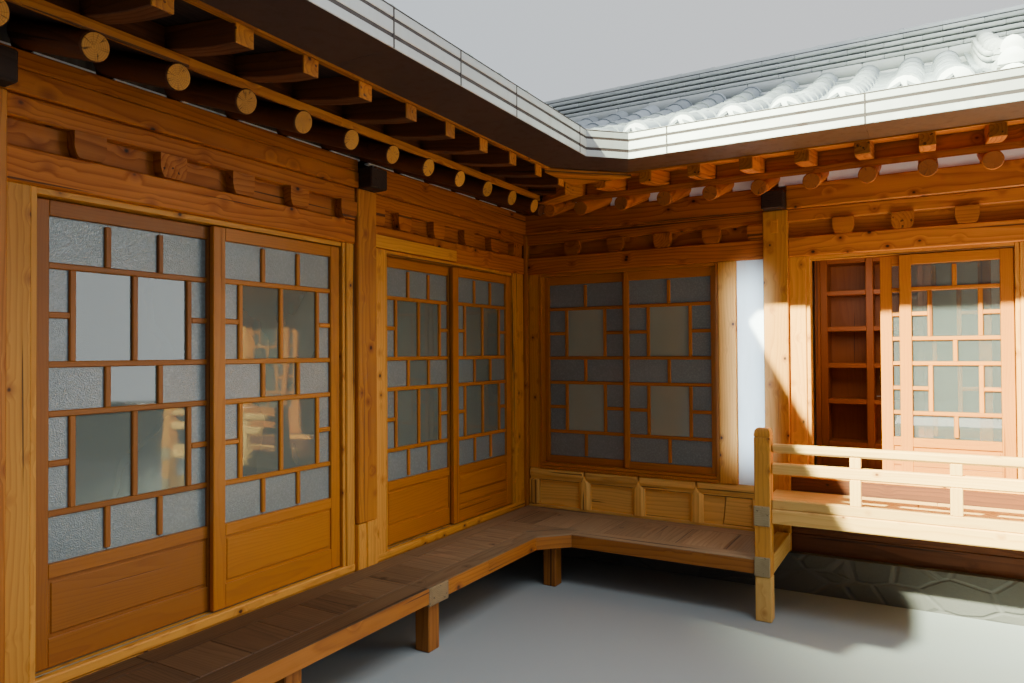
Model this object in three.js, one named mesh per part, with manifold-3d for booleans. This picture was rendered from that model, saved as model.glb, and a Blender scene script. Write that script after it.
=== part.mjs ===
// Hanok house: an L-shaped, tiled timber house around the corner of a courtyard.
// Millimetres, +Z up. The origin is on the ground at the inner corner of the two wings.
// The west wing runs along Y with its courtyard face on X = 0, the north wing along X with
// its courtyard face on Y = 0, and the courtyard lies at X > 0, Y < 0.

import * as THREE from 'three';
import { mergeVertices } from 'three/addons/utils/BufferGeometryUtils.js';
import Module from 'manifold-3d';

const wasm = await Module();
wasm.setup();

// Columns and bays
const columnSize = 190;
const wingDepth = 2400;
const southColumnY = -4615;
const westColumnY = -2265;
const northColumnX = 2295;
const eastColumnX = 4070;
const innerLine = columnSize / 2;
const outerLine = innerLine + wingDepth;
const gap = 0.3;
// Joined pieces run this far into each other
const bite = 4;

// Heights above the ground
const plinthTop = 300;
const roomFloorTop = 452;
const deckTop = 787;
const lintelBottom = 2650;
const lintelTop = 2808;
const bearerBottom = 2932;
const bearerTop = 3030;
const purlinTop = 3222;

// Openings, measured along each wing from the inner corner
const westDoorSouth = { from: -4380, to: -2467, sill: 470 };
const westDoorNorth = { from: -2008, to: -190, sill: 470 };
const deckDoor = { from: 2548, to: 3886, sill: 940 };
const cornerWindow = { from: 141, to: 1800, sill: 845 };
const headBottom = 2620;
const studDepthFrom = 45;
const studDepthTo = 165;
const sillDepthFrom = 30;
const trackDepthFrom = 55;
const trackDepthTo = 155;
const casing = 27;
const casingDepth = 45;
const windowSillDepth = 35;
const eastStudDepth = 25;
const plasterFrom = 1976;
const plasterFace = 60;

// Sliding doors
const leafThickness = 36;
const outerTrack = 84;
const innerTrack = 130;
const leafClearance = 6;
const leafTop = headBottom - leafClearance;
const stileWidth = 80;
const barWidth = 34;
const barDepth = 22;
const barTenon = 4;
const glassThickness = 5;
const bottomRail = 135;
const middleRailHeight = 72;
const panelSunk = 8;
const panelRows = 7;
const wingLeaf = { glassTop: 2541, glassBottom: 943, tallLights: 2, narrow: 110 };
const deckLeaf = { glassTop: 2539, glassBottom: 1242, tallLights: 1, narrow: 118 };
const windowLeaf = { glassTop: 2541, glassBottom: 909, tallLights: 1, narrow: 180 };
const leavesWestSouth = [[-4374, -3378], [-3457, -2473]];
const leavesWestNorth = [[-2002, -1060], [-1138, -196]];
const leavesDeck = [[3039, 3750], [3169, 3880]];
const shoeInset = 60;
const shoeLength = 80;
const shoeHalf = 6;
const sashStile = 46;
const meetingFrom = 969;
const meetingTo = 985;

// Bearing blocks, beams and friezes
const friezeFace = 25;
const friezeBack = 150;
const friezeBoardFace = 70;
const friezeBoardBack = 120;
const blockWidth = 150;
const blockFoot = 112;
const blockFace = 8;
const blockFootFace = 12;
const blockBack = 140;
const blockFootHeight = 50;
const blockPitch = 432;
const blockPitchDeck = 405;
const firstBlocks = { westSouth: -4166, westNorth: -1852, northWest: 480, northEast: 2796 };
const beamWidth = 170;
const beamTop = 3172;
const beamHeadOut = 110;
const beamTailPast = 60;
const kingPostHalf = 60;
const ridgeBeamBottom = 3500;
const ridgeBeamHalf = 80;
const purlinInset = 30;
const backPurlinInset = 40;

// Plinth and floors
const plinthMargin = 25;
const roomFloorShort = 60;
const deckRoomBoard = 60;
const sleeperFrom = 80;
const sleeperTo = 200;

// Panelled base under the window
const wainscotTop = 790;
const stubPlaces = [48, 580, 1106, 1623, 2145];
const stubWidth = 118;
const stubFace = 26;
const stubBelow = 60;
const baseRailOver = 12;
const sunkPanelFace = 75;
const wainscotFace = 22;
const topRailHeight = 105;

// Outer sides
const frameThickness = 130;
const wallInset = 60;
const wallThickness = 125;
const railInset = 15;
const middleRailInset = 25;
const groundRailHeight = 140;
const middleRail = 1500;
const railHeight = 120;

// Roof section, measured out from the ridge line and up from the ground
const eaveReach = 2475;
const ridgeBedZ = 4430;
const ridgeSlope = 0.5;
const eaveBedZ = 3430;
const rafterSlope = 0.32;
const rafterRadius = 62;
const rafterOut = 500;
const boardThickness = 25;
const flyingOut = 970;
const flyingTipBottom = 3155;
const flyingSlope = 0.134;
const flyingHeight = 110;
const flyingWidth = 92;
const flyingTail = -150;
const upperBoardThickness = 22;
const boardSunk = 14;
const boardOver = 12;
const upperBoardTaper = 90;
const upperBoardLip = 30;
const upperBoardLipWidth = 45;
const upperBoardOver = 20;
const stripWidth = 55;
const stripOver = 10;
const rafterPitch = 363;
const rafterFirst = 465;
const rafterHead = 60;
const diagonalHalf = 75;
const diagonalBack = 500;
const diagonalHeight = 220;
const diagonalBelow = 30;
const valleyRafterDrop = 4;
const hipRafterDrop = 22;
const hipRafterOver = 40;
const gableOverhang = 450;
const gableRafterInset = 40;
const boardEndInset = 5;
const roofSegments = 6;
const eaveNose = 60;
const eaveNoseRise = 25;
const bedStep = 40;
const valleyChamfer = 320;
const valleyWedgeIn = 150;

// Rows of round tiles and the ridges
const tileRowHalf = 92;
const tileRowHeight = 114;
const tileRowShoulder = 78;
const tileRowShoulderHeight = 68;
const tileRowCrown = 38;
const tileRowSunk = 20;
const tileRowTop = 118;
const tileRowEaveInset = 30;
const tilePitchWest = 330;
const tileFirstWest = -4410;
const tileRowsWest = 25;
const tileRowSouth = -5060;
const tilePitchNorth = 340;
const tileFirstNorth = -3547;
const tileRowsNorth = 21;
const tileRowsEast = [3513, 4080, 4420];
const ridgeHalf = 115;
const ridgeHeight = 370;
const ridgeSunk = 70;
const ridgeEndInset = 60;
const slopeRidgeHeight = 230;
const slopeRidgeWidth = 200;
const slopeRidgeSunk = 60;
const slopeRidgeSouth = -4840;
const slopeRidgeEast = 3695;
const slopeRidgeEnd = 90;
const hipRidgeEnd = 120;
const bargeThickness = 35;
const bargeDepth = 200;
const bargeEaveDepth = 175;
const bargeBelowBed = 70;
const bargeEnd = 40;

// Bench and raised deck
const benchTop = 428;
const benchBoard = 32;
const benchFront = 637;
const benchFrontNorth = 801;
const benchChamfer = 209;
const apronHeight = 103;
const apronThickness = 60;
const postSize = 110;
const postWest = 2280;
const deckFront = 785;
const postFront = 815;
const legSize = 112;
const legInset = 30;
const legsAlongBench = [-3560, -2388];
const cornerLeg = [612, -850];
const joistWidth = 60;
const joistHeight = 65;
const joistInset = 20;
const ledgerThickness = 40;
const westJoists = [-4100, -2900, -1750];
const northJoists = [1150, 1750];
const deckBoard = 30;
const fasciaBottom = 686;
const tieBottom = 314;
const tieTop = 451;
const tieInset = 3;
const fasciaThickness = 80;
const deckJoistWidth = 70;
const deckJoists = [3150];
const shaftTop = 1290;
const neckTop = 1299;
const neckInset = 4;
const capRings = [[55, 0], [50, 40], [35, 55]];
const railDepth = 60;
const railFront = 8;
const bottomRailTop = 855;
const middleRailLevels = [1032, 1108];
const handrailLevels = [1180, 1242];
const handrailOver = 5;
const shortPosts = [2925, 3499];
const shortPostHalf = 34;
const shortPostInset = 4;

// Shelves behind the deck door
const rack = { from: 2392, to: 3380, near: 1500, far: 1800, top: 2780, stile: 114, back: 20 };
const rackMiddle = [2840, 2905];
const rackBase = 1021;
const shelfHeight = 45;
const shelfTops = [1431, 1775, 2127, 2472];

// Gutter and the sheet under the eave
const gutterFront = 1350;
const gutterWide = 170;
const gutterBottom = 3240;
const gutterTop = 3430;
const gutterChamfer = 220;
const gutterEndInset = 10;
const metal = 12;
const soffitThickness = 14;
const soffitPast = 20;

const farOff = 12000;
const southEnd = southColumnY - columnSize / 2;
const eastEnd = eastColumnX + columnSize / 2;
const southGable = southEnd - gableOverhang;
const eastGable = eastEnd + gableOverhang;
const ridgeOffset = (innerLine + outerLine) / 2;
const rafterHalfHeight = rafterRadius * Math.hypot(1, rafterSlope);
const rafterAtPurlinZ = purlinTop + gap + rafterHalfHeight + rafterSlope * columnSize / 2;
const halfColumn = columnSize / 2;
const halfBeam = beamWidth / 2;
const outerFace = outerLine + halfColumn;
const frameBack = outerFace - frameThickness;
const wallFace = outerFace - wallInset;
const wallBack = wallFace - wallThickness;
const pastCorner = outerLine + 1600;
const rafterFarLimit = -outerLine - 900;

// Closed solids

function solidFrom(geometry) {
  const plain = geometry.clone();
  plain.deleteAttribute('normal');
  plain.deleteAttribute('uv');
  const merged = mergeVertices(plain, 1e-3);
  const mesh = new wasm.Mesh({
    numProp: 3,
    vertProperties: new Float32Array(merged.attributes.position.array),
    triVerts: new Uint32Array(merged.index.array),
  });
  return new wasm.Manifold(mesh);
}

function geometryFrom(solid) {
  const mesh = solid.getMesh();
  const geometry = new THREE.BufferGeometry();
  geometry.setAttribute('position', new THREE.BufferAttribute(new Float32Array(mesh.vertProperties), 3));
  geometry.setIndex(new THREE.BufferAttribute(new Uint32Array(mesh.triVerts), 1));
  return geometry;
}

function box(x0, x1, y0, y1, z0, z1) {
  const geometry = new THREE.BoxGeometry(x1 - x0, y1 - y0, z1 - z0);
  geometry.translate((x0 + x1) / 2, (y0 + y1) / 2, (z0 + z1) / 2);
  return solidFrom(geometry);
}

function extrude(points, depth) {
  const shape = new THREE.Shape(points.map(([a, b]) => new THREE.Vector2(a, b)));
  return new THREE.ExtrudeGeometry(shape, { depth, bevelEnabled: false });
}

// A plan outline, raised from z0 to z1
function slab(points, z0, z1) {
  const geometry = extrude(points, z1 - z0);
  geometry.translate(0, 0, z0);
  return solidFrom(geometry);
}

// A closed form through rings of points of one length
function loft(rings) {
  const n = rings[0].length;
  const index = [];
  for (let ring = 0; ring + 1 < rings.length; ring += 1) {
    for (let k = 0; k < n; k += 1) {
      const a = ring * n + k;
      const b = ring * n + (k + 1) % n;
      index.push(a, b, b + n, a, b + n, a + n);
    }
  }
  const last = (rings.length - 1) * n;
  for (let k = 1; k + 1 < n; k += 1) {
    index.push(0, k + 1, k, last, last + k, last + k + 1);
  }
  const geometry = new THREE.BufferGeometry();
  geometry.setAttribute('position', new THREE.BufferAttribute(new Float32Array(rings.flat(2)), 3));
  geometry.setIndex(index);
  return solidFrom(geometry);
}

function join(...solids) {
  return solids.flat().reduce((a, b) => a.add(b));
}

function cut(solid, ...tools) {
  return tools.flat().reduce((a, b) => a.subtract(b), solid);
}

// The two wings. "along" runs with the wing, "depth" runs back from the courtyard face,
// and a negative depth stands out into the courtyard.

const west = {
  box: (a0, a1, d0, d1, z0, z1) => box(-d1, -d0, a0, a1, z0, z1),
  section: (points, a0, a1) => {
    const geometry = extrude(points.map(([depth, z]) => [-depth, z]), a1 - a0);
    geometry.rotateX(Math.PI / 2);
    geometry.translate(0, a1, 0);
    return solidFrom(geometry);
  },
  rod: (along, radius, from, to) => rod(radius, [-from[0], along, from[1]], [-to[0], along, to[1]]),
};

const north = {
  box: (a0, a1, d0, d1, z0, z1) => box(a0, a1, d0, d1, z0, z1),
  section: (points, a0, a1) => {
    const geometry = extrude(points, a1 - a0);
    geometry.rotateX(Math.PI / 2);
    geometry.rotateZ(Math.PI / 2);
    geometry.translate(a0, 0, 0);
    return solidFrom(geometry);
  },
  rod: (along, radius, from, to) => rod(radius, [along, from[0], from[1]], [along, to[0], to[1]]),
};

// A round timber of eight sides between two points
function rod(radius, from, to) {
  const a = new THREE.Vector3(...from);
  const b = new THREE.Vector3(...to);
  const direction = b.clone().sub(a);
  const geometry = new THREE.CylinderGeometry(radius, radius, direction.length(), 8);
  const unit = direction.clone().normalize();
  geometry.applyQuaternion(new THREE.Quaternion().setFromUnitVectors(new THREE.Vector3(0, 1, 0), unit));
  const middle = a.add(b).multiplyScalar(0.5);
  geometry.translate(middle.x, middle.y, middle.z);
  return solidFrom(geometry);
}

// Materials

const finish = {
  pine: [0xb9772f, 0.55],
  pineDark: [0x7c4319, 0.6],
  redPine: [0xa5571f, 0.5],
  benchWood: [0x59402f, 0.65],
  beamEnd: [0x2a211b, 0.7],
  plaster: [0xe9eaea, 0.9],
  stone: [0x8b8a85, 0.95],
  floor: [0xa9824f, 0.5],
  tile: [0x6f7479, 0.85],
  gutter: [0xcdb79c, 0.35],
  soffit: [0x4a3024, 0.5],
  glass: [0x9fb0ae, 0.2],
};

const house = new THREE.Group();

function add(name, solid, finishName) {
  const [color, roughness] = finish[finishName];
  const metalness = finishName === 'gutter' ? 0.6 : 0;
  const mesh = new THREE.Mesh(
    geometryFrom(solid),
    new THREE.MeshStandardMaterial({ color, roughness, metalness }),
  );
  mesh.name = name;
  house.add(mesh);
}

// Ground works: one L of masonry under both wings

const plinthOutline = [
  [-outerFace - plinthMargin, southEnd - plinthMargin],
  [plinthMargin, southEnd - plinthMargin],
  [plinthMargin, -plinthMargin],
  [eastEnd + plinthMargin, -plinthMargin],
  [eastEnd + plinthMargin, outerFace + plinthMargin],
  [-outerFace - plinthMargin, outerFace + plinthMargin],
];
add('stone_plinth', slab(plinthOutline, 0, plinthTop), 'stone');

const deckBaseWest = northColumnX + halfColumn;
const floorInset = studDepthTo + gap;
const roomFloorEast = northColumnX - halfColumn - roomFloorShort;

function roomFloor() {
  const back = wallBack - gap;
  const south = southEnd + outerFace - wallBack + gap;
  const outline = [
    [-back, south],
    [-floorInset, south],
    [-floorInset, floorInset],
    [roomFloorEast, floorInset],
    [roomFloorEast, back],
    [-back, back],
  ];
  const plain = slab(outline, plinthTop, roomFloorTop);
  return cut(plain, innerColumns.map(([x, y]) => columnBox(x, y, 0, bearerTop, gap)));
}

// Courtyard columns

const innerColumns = [
  [-innerLine, southColumnY],
  [-innerLine, westColumnY],
  [-innerLine, innerLine],
  [northColumnX, innerLine],
  [eastColumnX, innerLine],
];
const innerColumnNames = ['column_south', 'column_west', 'column_corner', 'column_north', 'column_east'];

function columnBox(x, y, z0, z1, margin = 0) {
  const half = halfColumn + margin;
  return box(x - half, x + half, y - half, y + half, z0, z1);
}

innerColumns.forEach(([x, y], i) => {
  add(innerColumnNames[i], columnBox(x, y, plinthTop, bearerTop), 'pine');
});

add('room_floor', roomFloor(), 'floor');

function deckRoomFloor() {
  const from = deckBaseWest;
  const to = eastEnd - columnSize;
  const boardBottom = deckTop - deckRoomBoard;
  return join(
    north.box(from, to, floorInset, wallBack - gap, boardBottom, deckTop),
    north.box(from, to, floorInset + sleeperFrom, floorInset + sleeperTo, plinthTop, boardBottom + 1),
  );
}

add('deck_room_floor', deckRoomFloor(), 'floor');

// Frieze over each bay: lintel, bearing blocks, bearer and square purlin

function frieze(wing, from, to, blocks, purlinFrom, purlinTo) {
  const parts = [
    wing.box(from, to, friezeFace, friezeBack, lintelBottom, lintelTop),
    wing.box(from, to, friezeBoardFace, friezeBoardBack, lintelTop, bearerBottom),
    wing.box(from, to, friezeFace, friezeBack, bearerBottom, bearerTop),
    wing.box(purlinFrom, purlinTo, 0, columnSize, bearerTop, purlinTop),
  ];
  for (const centre of blocks) {
    const waist = lintelTop + blockFootHeight;
    parts.push(
      wing.box(centre - blockFoot / 2, centre + blockFoot / 2, blockFootFace, blockBack, lintelTop, waist),
      wing.box(centre - blockWidth / 2, centre + blockWidth / 2, blockFace, blockBack, waist, bearerBottom),
    );
  }
  return join(parts);
}

function blocksFrom(first, count, pitch = blockPitch) {
  return Array.from({ length: count }, (_, k) => first + k * pitch);
}

add('frieze_west_south', frieze(
  west,
  southColumnY + halfColumn,
  westColumnY - halfColumn,
  blocksFrom(firstBlocks.westSouth, 4),
  southGable + purlinInset,
  westColumnY - halfBeam - gap,
), 'pine');
add('frieze_west_north', frieze(
  west,
  westColumnY + halfColumn,
  0,
  blocksFrom(firstBlocks.westNorth, 4),
  westColumnY + halfBeam + gap,
  -gap,
), 'pine');
add('frieze_north_west', frieze(
  north,
  gap,
  northColumnX - halfColumn,
  blocksFrom(firstBlocks.northWest, 4),
  -columnSize,
  northColumnX - halfBeam - gap,
), 'pineDark');
add('frieze_north_east', frieze(
  north,
  northColumnX + halfColumn,
  eastColumnX - halfColumn,
  blocksFrom(firstBlocks.northEast, 3, blockPitchDeck),
  northColumnX + halfBeam + gap,
  eastGable - purlinInset,
), 'pine');

// Cross beams with dark heads that stand out over the two middle columns

function crossBeam(wing, along) {
  const beam = wing.box(
    along - halfBeam, along + halfBeam, -beamHeadOut, outerLine + beamTailPast, bearerTop, beamTop);
  const kingPost = wing.box(
    along - kingPostHalf,
    along + kingPostHalf,
    ridgeOffset - kingPostHalf,
    ridgeOffset + kingPostHalf,
    beamTop - 1,
    ridgeBeamBottom,
  );
  return join(beam, kingPost);
}

add('cross_beam_west', crossBeam(west, westColumnY), 'beamEnd');
add('cross_beam_north', crossBeam(north, northColumnX), 'beamEnd');

// Outer sides: an exposed frame of posts and rails, and the plastered wall behind it

function outerRails(wing, from, to) {
  return [
    wing.box(from, to, frameBack, outerFace - railInset, plinthTop, plinthTop + groundRailHeight),
    wing.box(from, to, frameBack, outerFace - middleRailInset, middleRail, middleRail + railHeight),
    wing.box(from, to, frameBack, outerFace - railInset, lintelBottom, lintelTop),
    wing.box(from, to, frameBack, outerFace - railInset, bearerBottom, bearerTop),
  ];
}

function outerPosts(wing, places) {
  return places.map((a) => wing.box(
    a - halfColumn, a + halfColumn, frameBack, outerFace, plinthTop, bearerTop));
}

function endRails(wing, face, sign, z0, z1, inset) {
  const near = face - sign * inset;
  const far = face - sign * frameThickness;
  return wing.box(Math.min(near, far), Math.max(near, far), columnSize, frameBack, z0, z1);
}

function outerFrame(wing, first, last, places, face, sign) {
  const parts = [
    ...outerRails(wing, first, last),
    ...outerPosts(wing, places),
    endRails(wing, face, sign, plinthTop, plinthTop + groundRailHeight, railInset),
    endRails(wing, face, sign, middleRail, middleRail + railHeight, middleRailInset),
    endRails(wing, face, sign, lintelBottom, lintelTop, railInset),
  ];
  return join(parts);
}

const westFrame = outerFrame(
  west,
  southEnd,
  outerFace,
  [southColumnY, westColumnY, innerLine, outerLine],
  southEnd,
  -1,
);
const northFrame = outerFrame(
  north,
  -frameBack + gap,
  eastEnd,
  [-innerLine, northColumnX, eastColumnX],
  eastEnd,
  1,
);
const cornerCut = box(-outerFace, -frameBack, frameBack, outerFace, 0, purlinTop);
add('outer_frame_west', westFrame, 'pine');
add('outer_frame_north', cut(northFrame, cornerCut), 'pine');

// Back purlins carry the rafters over the outer walls

function backPurlin(wing, from, to, beamAlong) {
  const purlin = wing.box(from, to, outerLine - halfColumn, outerLine + halfColumn, bearerTop, purlinTop);
  const seat = wing.box(
    beamAlong - halfBeam - gap,
    beamAlong + halfBeam + gap,
    0,
    outerLine + beamTailPast + gap,
    bearerTop - 1,
    beamTop + gap,
  );
  return cut(purlin, seat);
}

add('back_purlin_west', backPurlin(
  west, southGable + purlinInset, outerLine + halfColumn - backPurlinInset, westColumnY), 'pine');
add('back_purlin_north', backPurlin(
  north, -outerLine + halfColumn + gap, eastGable - purlinInset, northColumnX), 'pine');

// Roof section

const roofCurve = (ridgeSlope * eaveReach - (ridgeBedZ - eaveBedZ)) / eaveReach ** 2;

function bedZ(out) {
  return ridgeBedZ - ridgeSlope * out + roofCurve * out * out;
}

// Height of the top of the rafter boards, at a distance out from the ridge line
function boardZ(out) {
  const fromPurlin = out - wingDepth / 2;
  return rafterAtPurlinZ - rafterSlope * fromPurlin + rafterHalfHeight + boardThickness;
}

const faceOut = ridgeOffset;
const flyingBottom = (out) => flyingTipBottom + flyingSlope * (faceOut + flyingOut - out);
const upperTop = (out) => flyingBottom(out) + flyingHeight + upperBoardThickness;
const crossing = (() => {
  const level = boardZ(0) - flyingBottom(0);
  return level / (rafterSlope - flyingSlope);
})();

const steps = Array.from({ length: roofSegments + 1 }, (_, k) => k / roofSegments);

// Tile bed from ridge to eave on both sides: concave above, resting on the boards below
function tileBedSection(lift) {
  const tail = faceOut + flyingTail;
  const eaveBottom = upperTop(eaveReach - eaveNose) + gap;
  const top = steps.map((t) => [t * eaveReach, bedZ(t * eaveReach) + lift]);
  const side = [
    ...top,
    [eaveReach, eaveBottom + eaveNoseRise],
    [eaveReach - eaveNose, eaveBottom],
    [tail, upperTop(tail) + gap],
    [tail - bedStep, boardZ(tail - bedStep) + gap],
  ];
  const points = side.map(([out, z]) => [ridgeOffset - out, z]);
  const mirror = side.slice(1).reverse().map(([out, z]) => [ridgeOffset + out, z]);
  return [...points, [ridgeOffset, boardZ(0) + gap], ...mirror];
}

// Keeps the part of a wing's roof on its own side of the diagonal through both corners
function ownSide(solid, wingName, margin) {
  const reach = farOff;
  const sign = wingName === 'west' ? -1 : 1;
  const m = sign * margin * Math.SQRT2;
  const outline = [
    [-reach, reach + m],
    [reach, -reach + m],
    [reach + sign * reach, -reach + sign * reach + m],
    [-reach + sign * reach, reach + sign * reach + m],
  ];
  const ordered = sign > 0 ? outline : outline.reverse();
  return solid.intersect(slab(ordered, 0, farOff));
}

// The cut corner of the eave, over the foot of the valley
function valleyWedge() {
  const edge = eaveReach - ridgeOffset;
  const inner = edge - valleyWedgeIn;
  const outline = [
    [inner, -inner],
    [inner, -edge - valleyChamfer],
    [edge, -edge - valleyChamfer],
    [edge + valleyChamfer, -edge],
    [edge + valleyChamfer, -inner],
  ];
  return slab(outline, upperTop(eaveReach - eaveNose) + gap + 3 * bite, eaveBedZ - bite / 2);
}

function tileBed(wingName, lift) {
  const section = tileBedSection(lift);
  return wingName === 'west'
    ? west.section(section, southGable, pastCorner)
    : north.section(section, -pastCorner, eastGable);
}

// One row of round tiles down a slope, as one low vault on the bed
function tileRow(wingName, side, along) {
  const from = tileRowTop;
  const to = eaveReach - tileRowEaveInset;
  const profile = [
    [-tileRowHalf, -tileRowSunk],
    [tileRowHalf, -tileRowSunk],
    [tileRowShoulder, tileRowShoulderHeight],
    [tileRowCrown, tileRowHeight],
    [-tileRowCrown, tileRowHeight],
    [-tileRowShoulder, tileRowShoulderHeight],
  ];
  const turned = side > 0 ? profile : [...profile].reverse();
  return loft(steps.map((t) => {
    const out = from + (to - from) * t;
    const depth = ridgeOffset - side * out;
    return turned.map(([a, z]) => (wingName === 'west'
      ? [-depth, along + a, bedZ(out) + z]
      : [along + a, depth, bedZ(out) + z]));
  }));
}

function tilePlaces(first, step, count) {
  return Array.from({ length: count }, (_, k) => first + step * k);
}

const tileRowPlaces = {
  west: [tileRowSouth, ...tilePlaces(tileFirstWest, tilePitchWest, tileRowsWest)],
  north: [...tilePlaces(tileFirstNorth, tilePitchNorth, tileRowsNorth), ...tileRowsEast],
};

function tileRows(wingName) {
  const rows = tileRowPlaces[wingName].flatMap((a) => [tileRow(wingName, 1, a), tileRow(wingName, -1, a)]);
  return ownSide(join(rows), wingName, slopeRidgeWidth / 2 + gap);
}

for (const wingName of ['west', 'north']) {
  const bed = ownSide(join(tileBed(wingName, 0), valleyWedge()), wingName, gap);
  add(`roof_tiles_${wingName}`, join(bed, tileRows(wingName)), 'tile');
}

// Rafters, boards and flying rafters, all nailed together

function boardSection() {
  const top = (out) => [ridgeOffset - out, boardZ(out)];
  const under = (out) => [ridgeOffset - out, boardZ(out) - boardThickness - boardSunk];
  const topBack = (out) => [ridgeOffset + out, boardZ(out)];
  const underBack = (out) => [ridgeOffset + out, boardZ(out) - boardThickness - boardSunk];
  const end = faceOut + rafterOut + boardOver;
  return [top(0), topBack(end), underBack(end), under(0), under(end), top(end)].reverse();
}

function upperBoardSection(side) {
  const tail = faceOut + flyingTail;
  const end = faceOut + flyingOut + upperBoardOver;
  const lip = end - upperBoardLipWidth;
  const start = tail + upperBoardTaper;
  return [
    [ridgeOffset - side * tail, boardZ(tail) - bite],
    [ridgeOffset - side * tail, upperTop(tail)],
    [ridgeOffset - side * end, upperTop(end)],
    [ridgeOffset - side * end, upperTop(end) - upperBoardThickness - upperBoardLip],
    [ridgeOffset - side * lip, upperTop(lip) - upperBoardThickness - upperBoardLip],
    [ridgeOffset - side * lip, upperTop(lip) - upperBoardThickness],
    [ridgeOffset - side * start, upperTop(start) - upperBoardThickness],
  ];
}

function flyingSection(side) {
  const tip = faceOut + flyingOut;
  const tail = faceOut + flyingTail + 5 * bite;
  return [
    [ridgeOffset - side * tip, flyingBottom(tip)],
    [ridgeOffset - side * crossing, boardZ(crossing) - bite],
    [ridgeOffset - side * tail, boardZ(tail) - bite],
    [ridgeOffset - side * tail, flyingBottom(tail) + flyingHeight + bite],
    [ridgeOffset - side * tip, flyingBottom(tip) + flyingHeight + bite],
  ];
}

function stripSection(side) {
  const end = faceOut + rafterOut + stripOver;
  const inner = end - stripWidth;
  return [
    [ridgeOffset - side * inner, boardZ(inner) - boardThickness - stripOver],
    [ridgeOffset - side * end, boardZ(end) - boardThickness - stripOver],
    [ridgeOffset - side * end, flyingBottom(end) + bite],
    [ridgeOffset - side * inner, flyingBottom(inner) + bite],
  ];
}

function counterClockwise(points) {
  const area = THREE.ShapeUtils.area(points.map(([a, b]) => new THREE.Vector2(a, b)));
  return area < 0 ? [...points].reverse() : points;
}

function rafterPlaces(from, to) {
  const places = [];
  const first = rafterFirst + Math.ceil((from - rafterFirst) / rafterPitch) * rafterPitch;
  for (let place = first; place < to; place += rafterPitch) places.push(place);
  return places;
}

function rafterEnd(side, out) {
  return [ridgeOffset - side * out, rafterAtPurlinZ - rafterSlope * (out - wingDepth / 2)];
}

function roofTimber(wing, from, to, places) {
  const section = (points, a0, a1) => wing.section(counterClockwise(points), a0, a1);
  const parts = [section(boardSection(), from, to)];
  for (const side of [1, -1]) {
    parts.push(section(upperBoardSection(side), from, to));
    parts.push(section(stripSection(side), from, to));
    for (const place of places) {
      const tip = rafterEnd(side, faceOut + rafterOut);
      parts.push(wing.rod(place, rafterRadius, rafterEnd(side, rafterHead), tip));
      parts.push(section(flyingSection(side), place - flyingWidth / 2, place + flyingWidth / 2));
    }
  }
  parts.push(wing.box(
    from,
    to,
    ridgeOffset - ridgeBeamHalf,
    ridgeOffset + ridgeBeamHalf,
    ridgeBeamBottom + gap,
    boardZ(0) - boardThickness - boardSunk + bite,
  ));
  return join(parts);
}

const westPlaces = rafterPlaces(rafterFarLimit, -southGable - gableRafterInset).map((a) => -a);
const northPlaces = rafterPlaces(rafterFarLimit, eastGable - gableRafterInset);
const westTimber = roofTimber(west, southGable + boardEndInset, pastCorner, westPlaces);
const northTimber = roofTimber(north, -pastCorner, eastGable - boardEndInset, northPlaces);
add('rafters_west', ownSide(westTimber, 'west', diagonalHalf + gap), 'pine');
add('rafters_north', ownSide(northTimber, 'north', diagonalHalf + gap), 'pine');

// Valley and hip rafters on the diagonal between the two wings

function diagonalRafter(outEnd, drop) {
  const end = faceOut + outEnd;
  const start = wingDepth / 2 - diagonalBack;
  const tail = faceOut + flyingTail;
  const points = [
    [start, boardZ(start) - diagonalHeight],
    [end, flyingBottom(end) - diagonalBelow],
    [end, upperTop(end) - drop],
    [tail, upperTop(tail) - drop],
    [tail, boardZ(tail) - drop],
    [start, boardZ(start) - drop],
  ].map(([out, z]) => [out * Math.SQRT2, z]);
  const geometry = extrude(counterClockwise(points), diagonalHalf * 2);
  geometry.rotateX(Math.PI / 2);
  geometry.translate(0, diagonalHalf, 0);
  return geometry;
}

function placedDiagonal(geometry, angle) {
  geometry.rotateZ(angle);
  geometry.translate(-ridgeOffset, ridgeOffset, 0);
  return solidFrom(geometry);
}

const wallMasses = [
  west.box(southEnd, outerFace, 0, columnSize, 0, purlinTop + gap),
  north.box(-outerFace, eastEnd, 0, columnSize, 0, purlinTop + gap),
  west.box(southEnd, outerFace, outerLine - halfColumn, outerFace, 0, purlinTop + gap),
  north.box(-outerFace, eastEnd, outerLine - halfColumn, outerFace, 0, purlinTop + gap),
];
const valleyAngle = -Math.PI / 4;
const hipAngle = Math.PI * 0.75;
const valleyRafter = placedDiagonal(diagonalRafter(flyingOut, valleyRafterDrop), valleyAngle);
const hipRafter = placedDiagonal(diagonalRafter(flyingOut + hipRafterOver, hipRafterDrop), hipAngle);
add('valley_rafter', cut(valleyRafter, wallMasses), 'pineDark');
add('hip_rafter', cut(hipRafter, wallMasses), 'pine');

// Ridge walls of stacked tiles: along both wings, down the hip and down the gables

function descendingPoints(side, end) {
  const line = (lift) => steps.map((t) => [ridgeOffset - side * t * end, bedZ(t * end) + lift]);
  return counterClockwise([...line(-slopeRidgeSunk), ...line(slopeRidgeHeight).reverse()]);
}

function hipRidge() {
  const end = eaveReach - hipRidgeEnd;
  const line = (lift) => steps.map((t) => [t * end * Math.SQRT2, bedZ(t * end) + lift]);
  const outline = counterClockwise([...line(-slopeRidgeSunk), ...line(slopeRidgeHeight).reverse()]);
  const geometry = extrude(outline, slopeRidgeWidth);
  geometry.rotateX(Math.PI / 2);
  geometry.translate(0, slopeRidgeWidth / 2, 0);
  return placedDiagonal(geometry, hipAngle);
}

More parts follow.
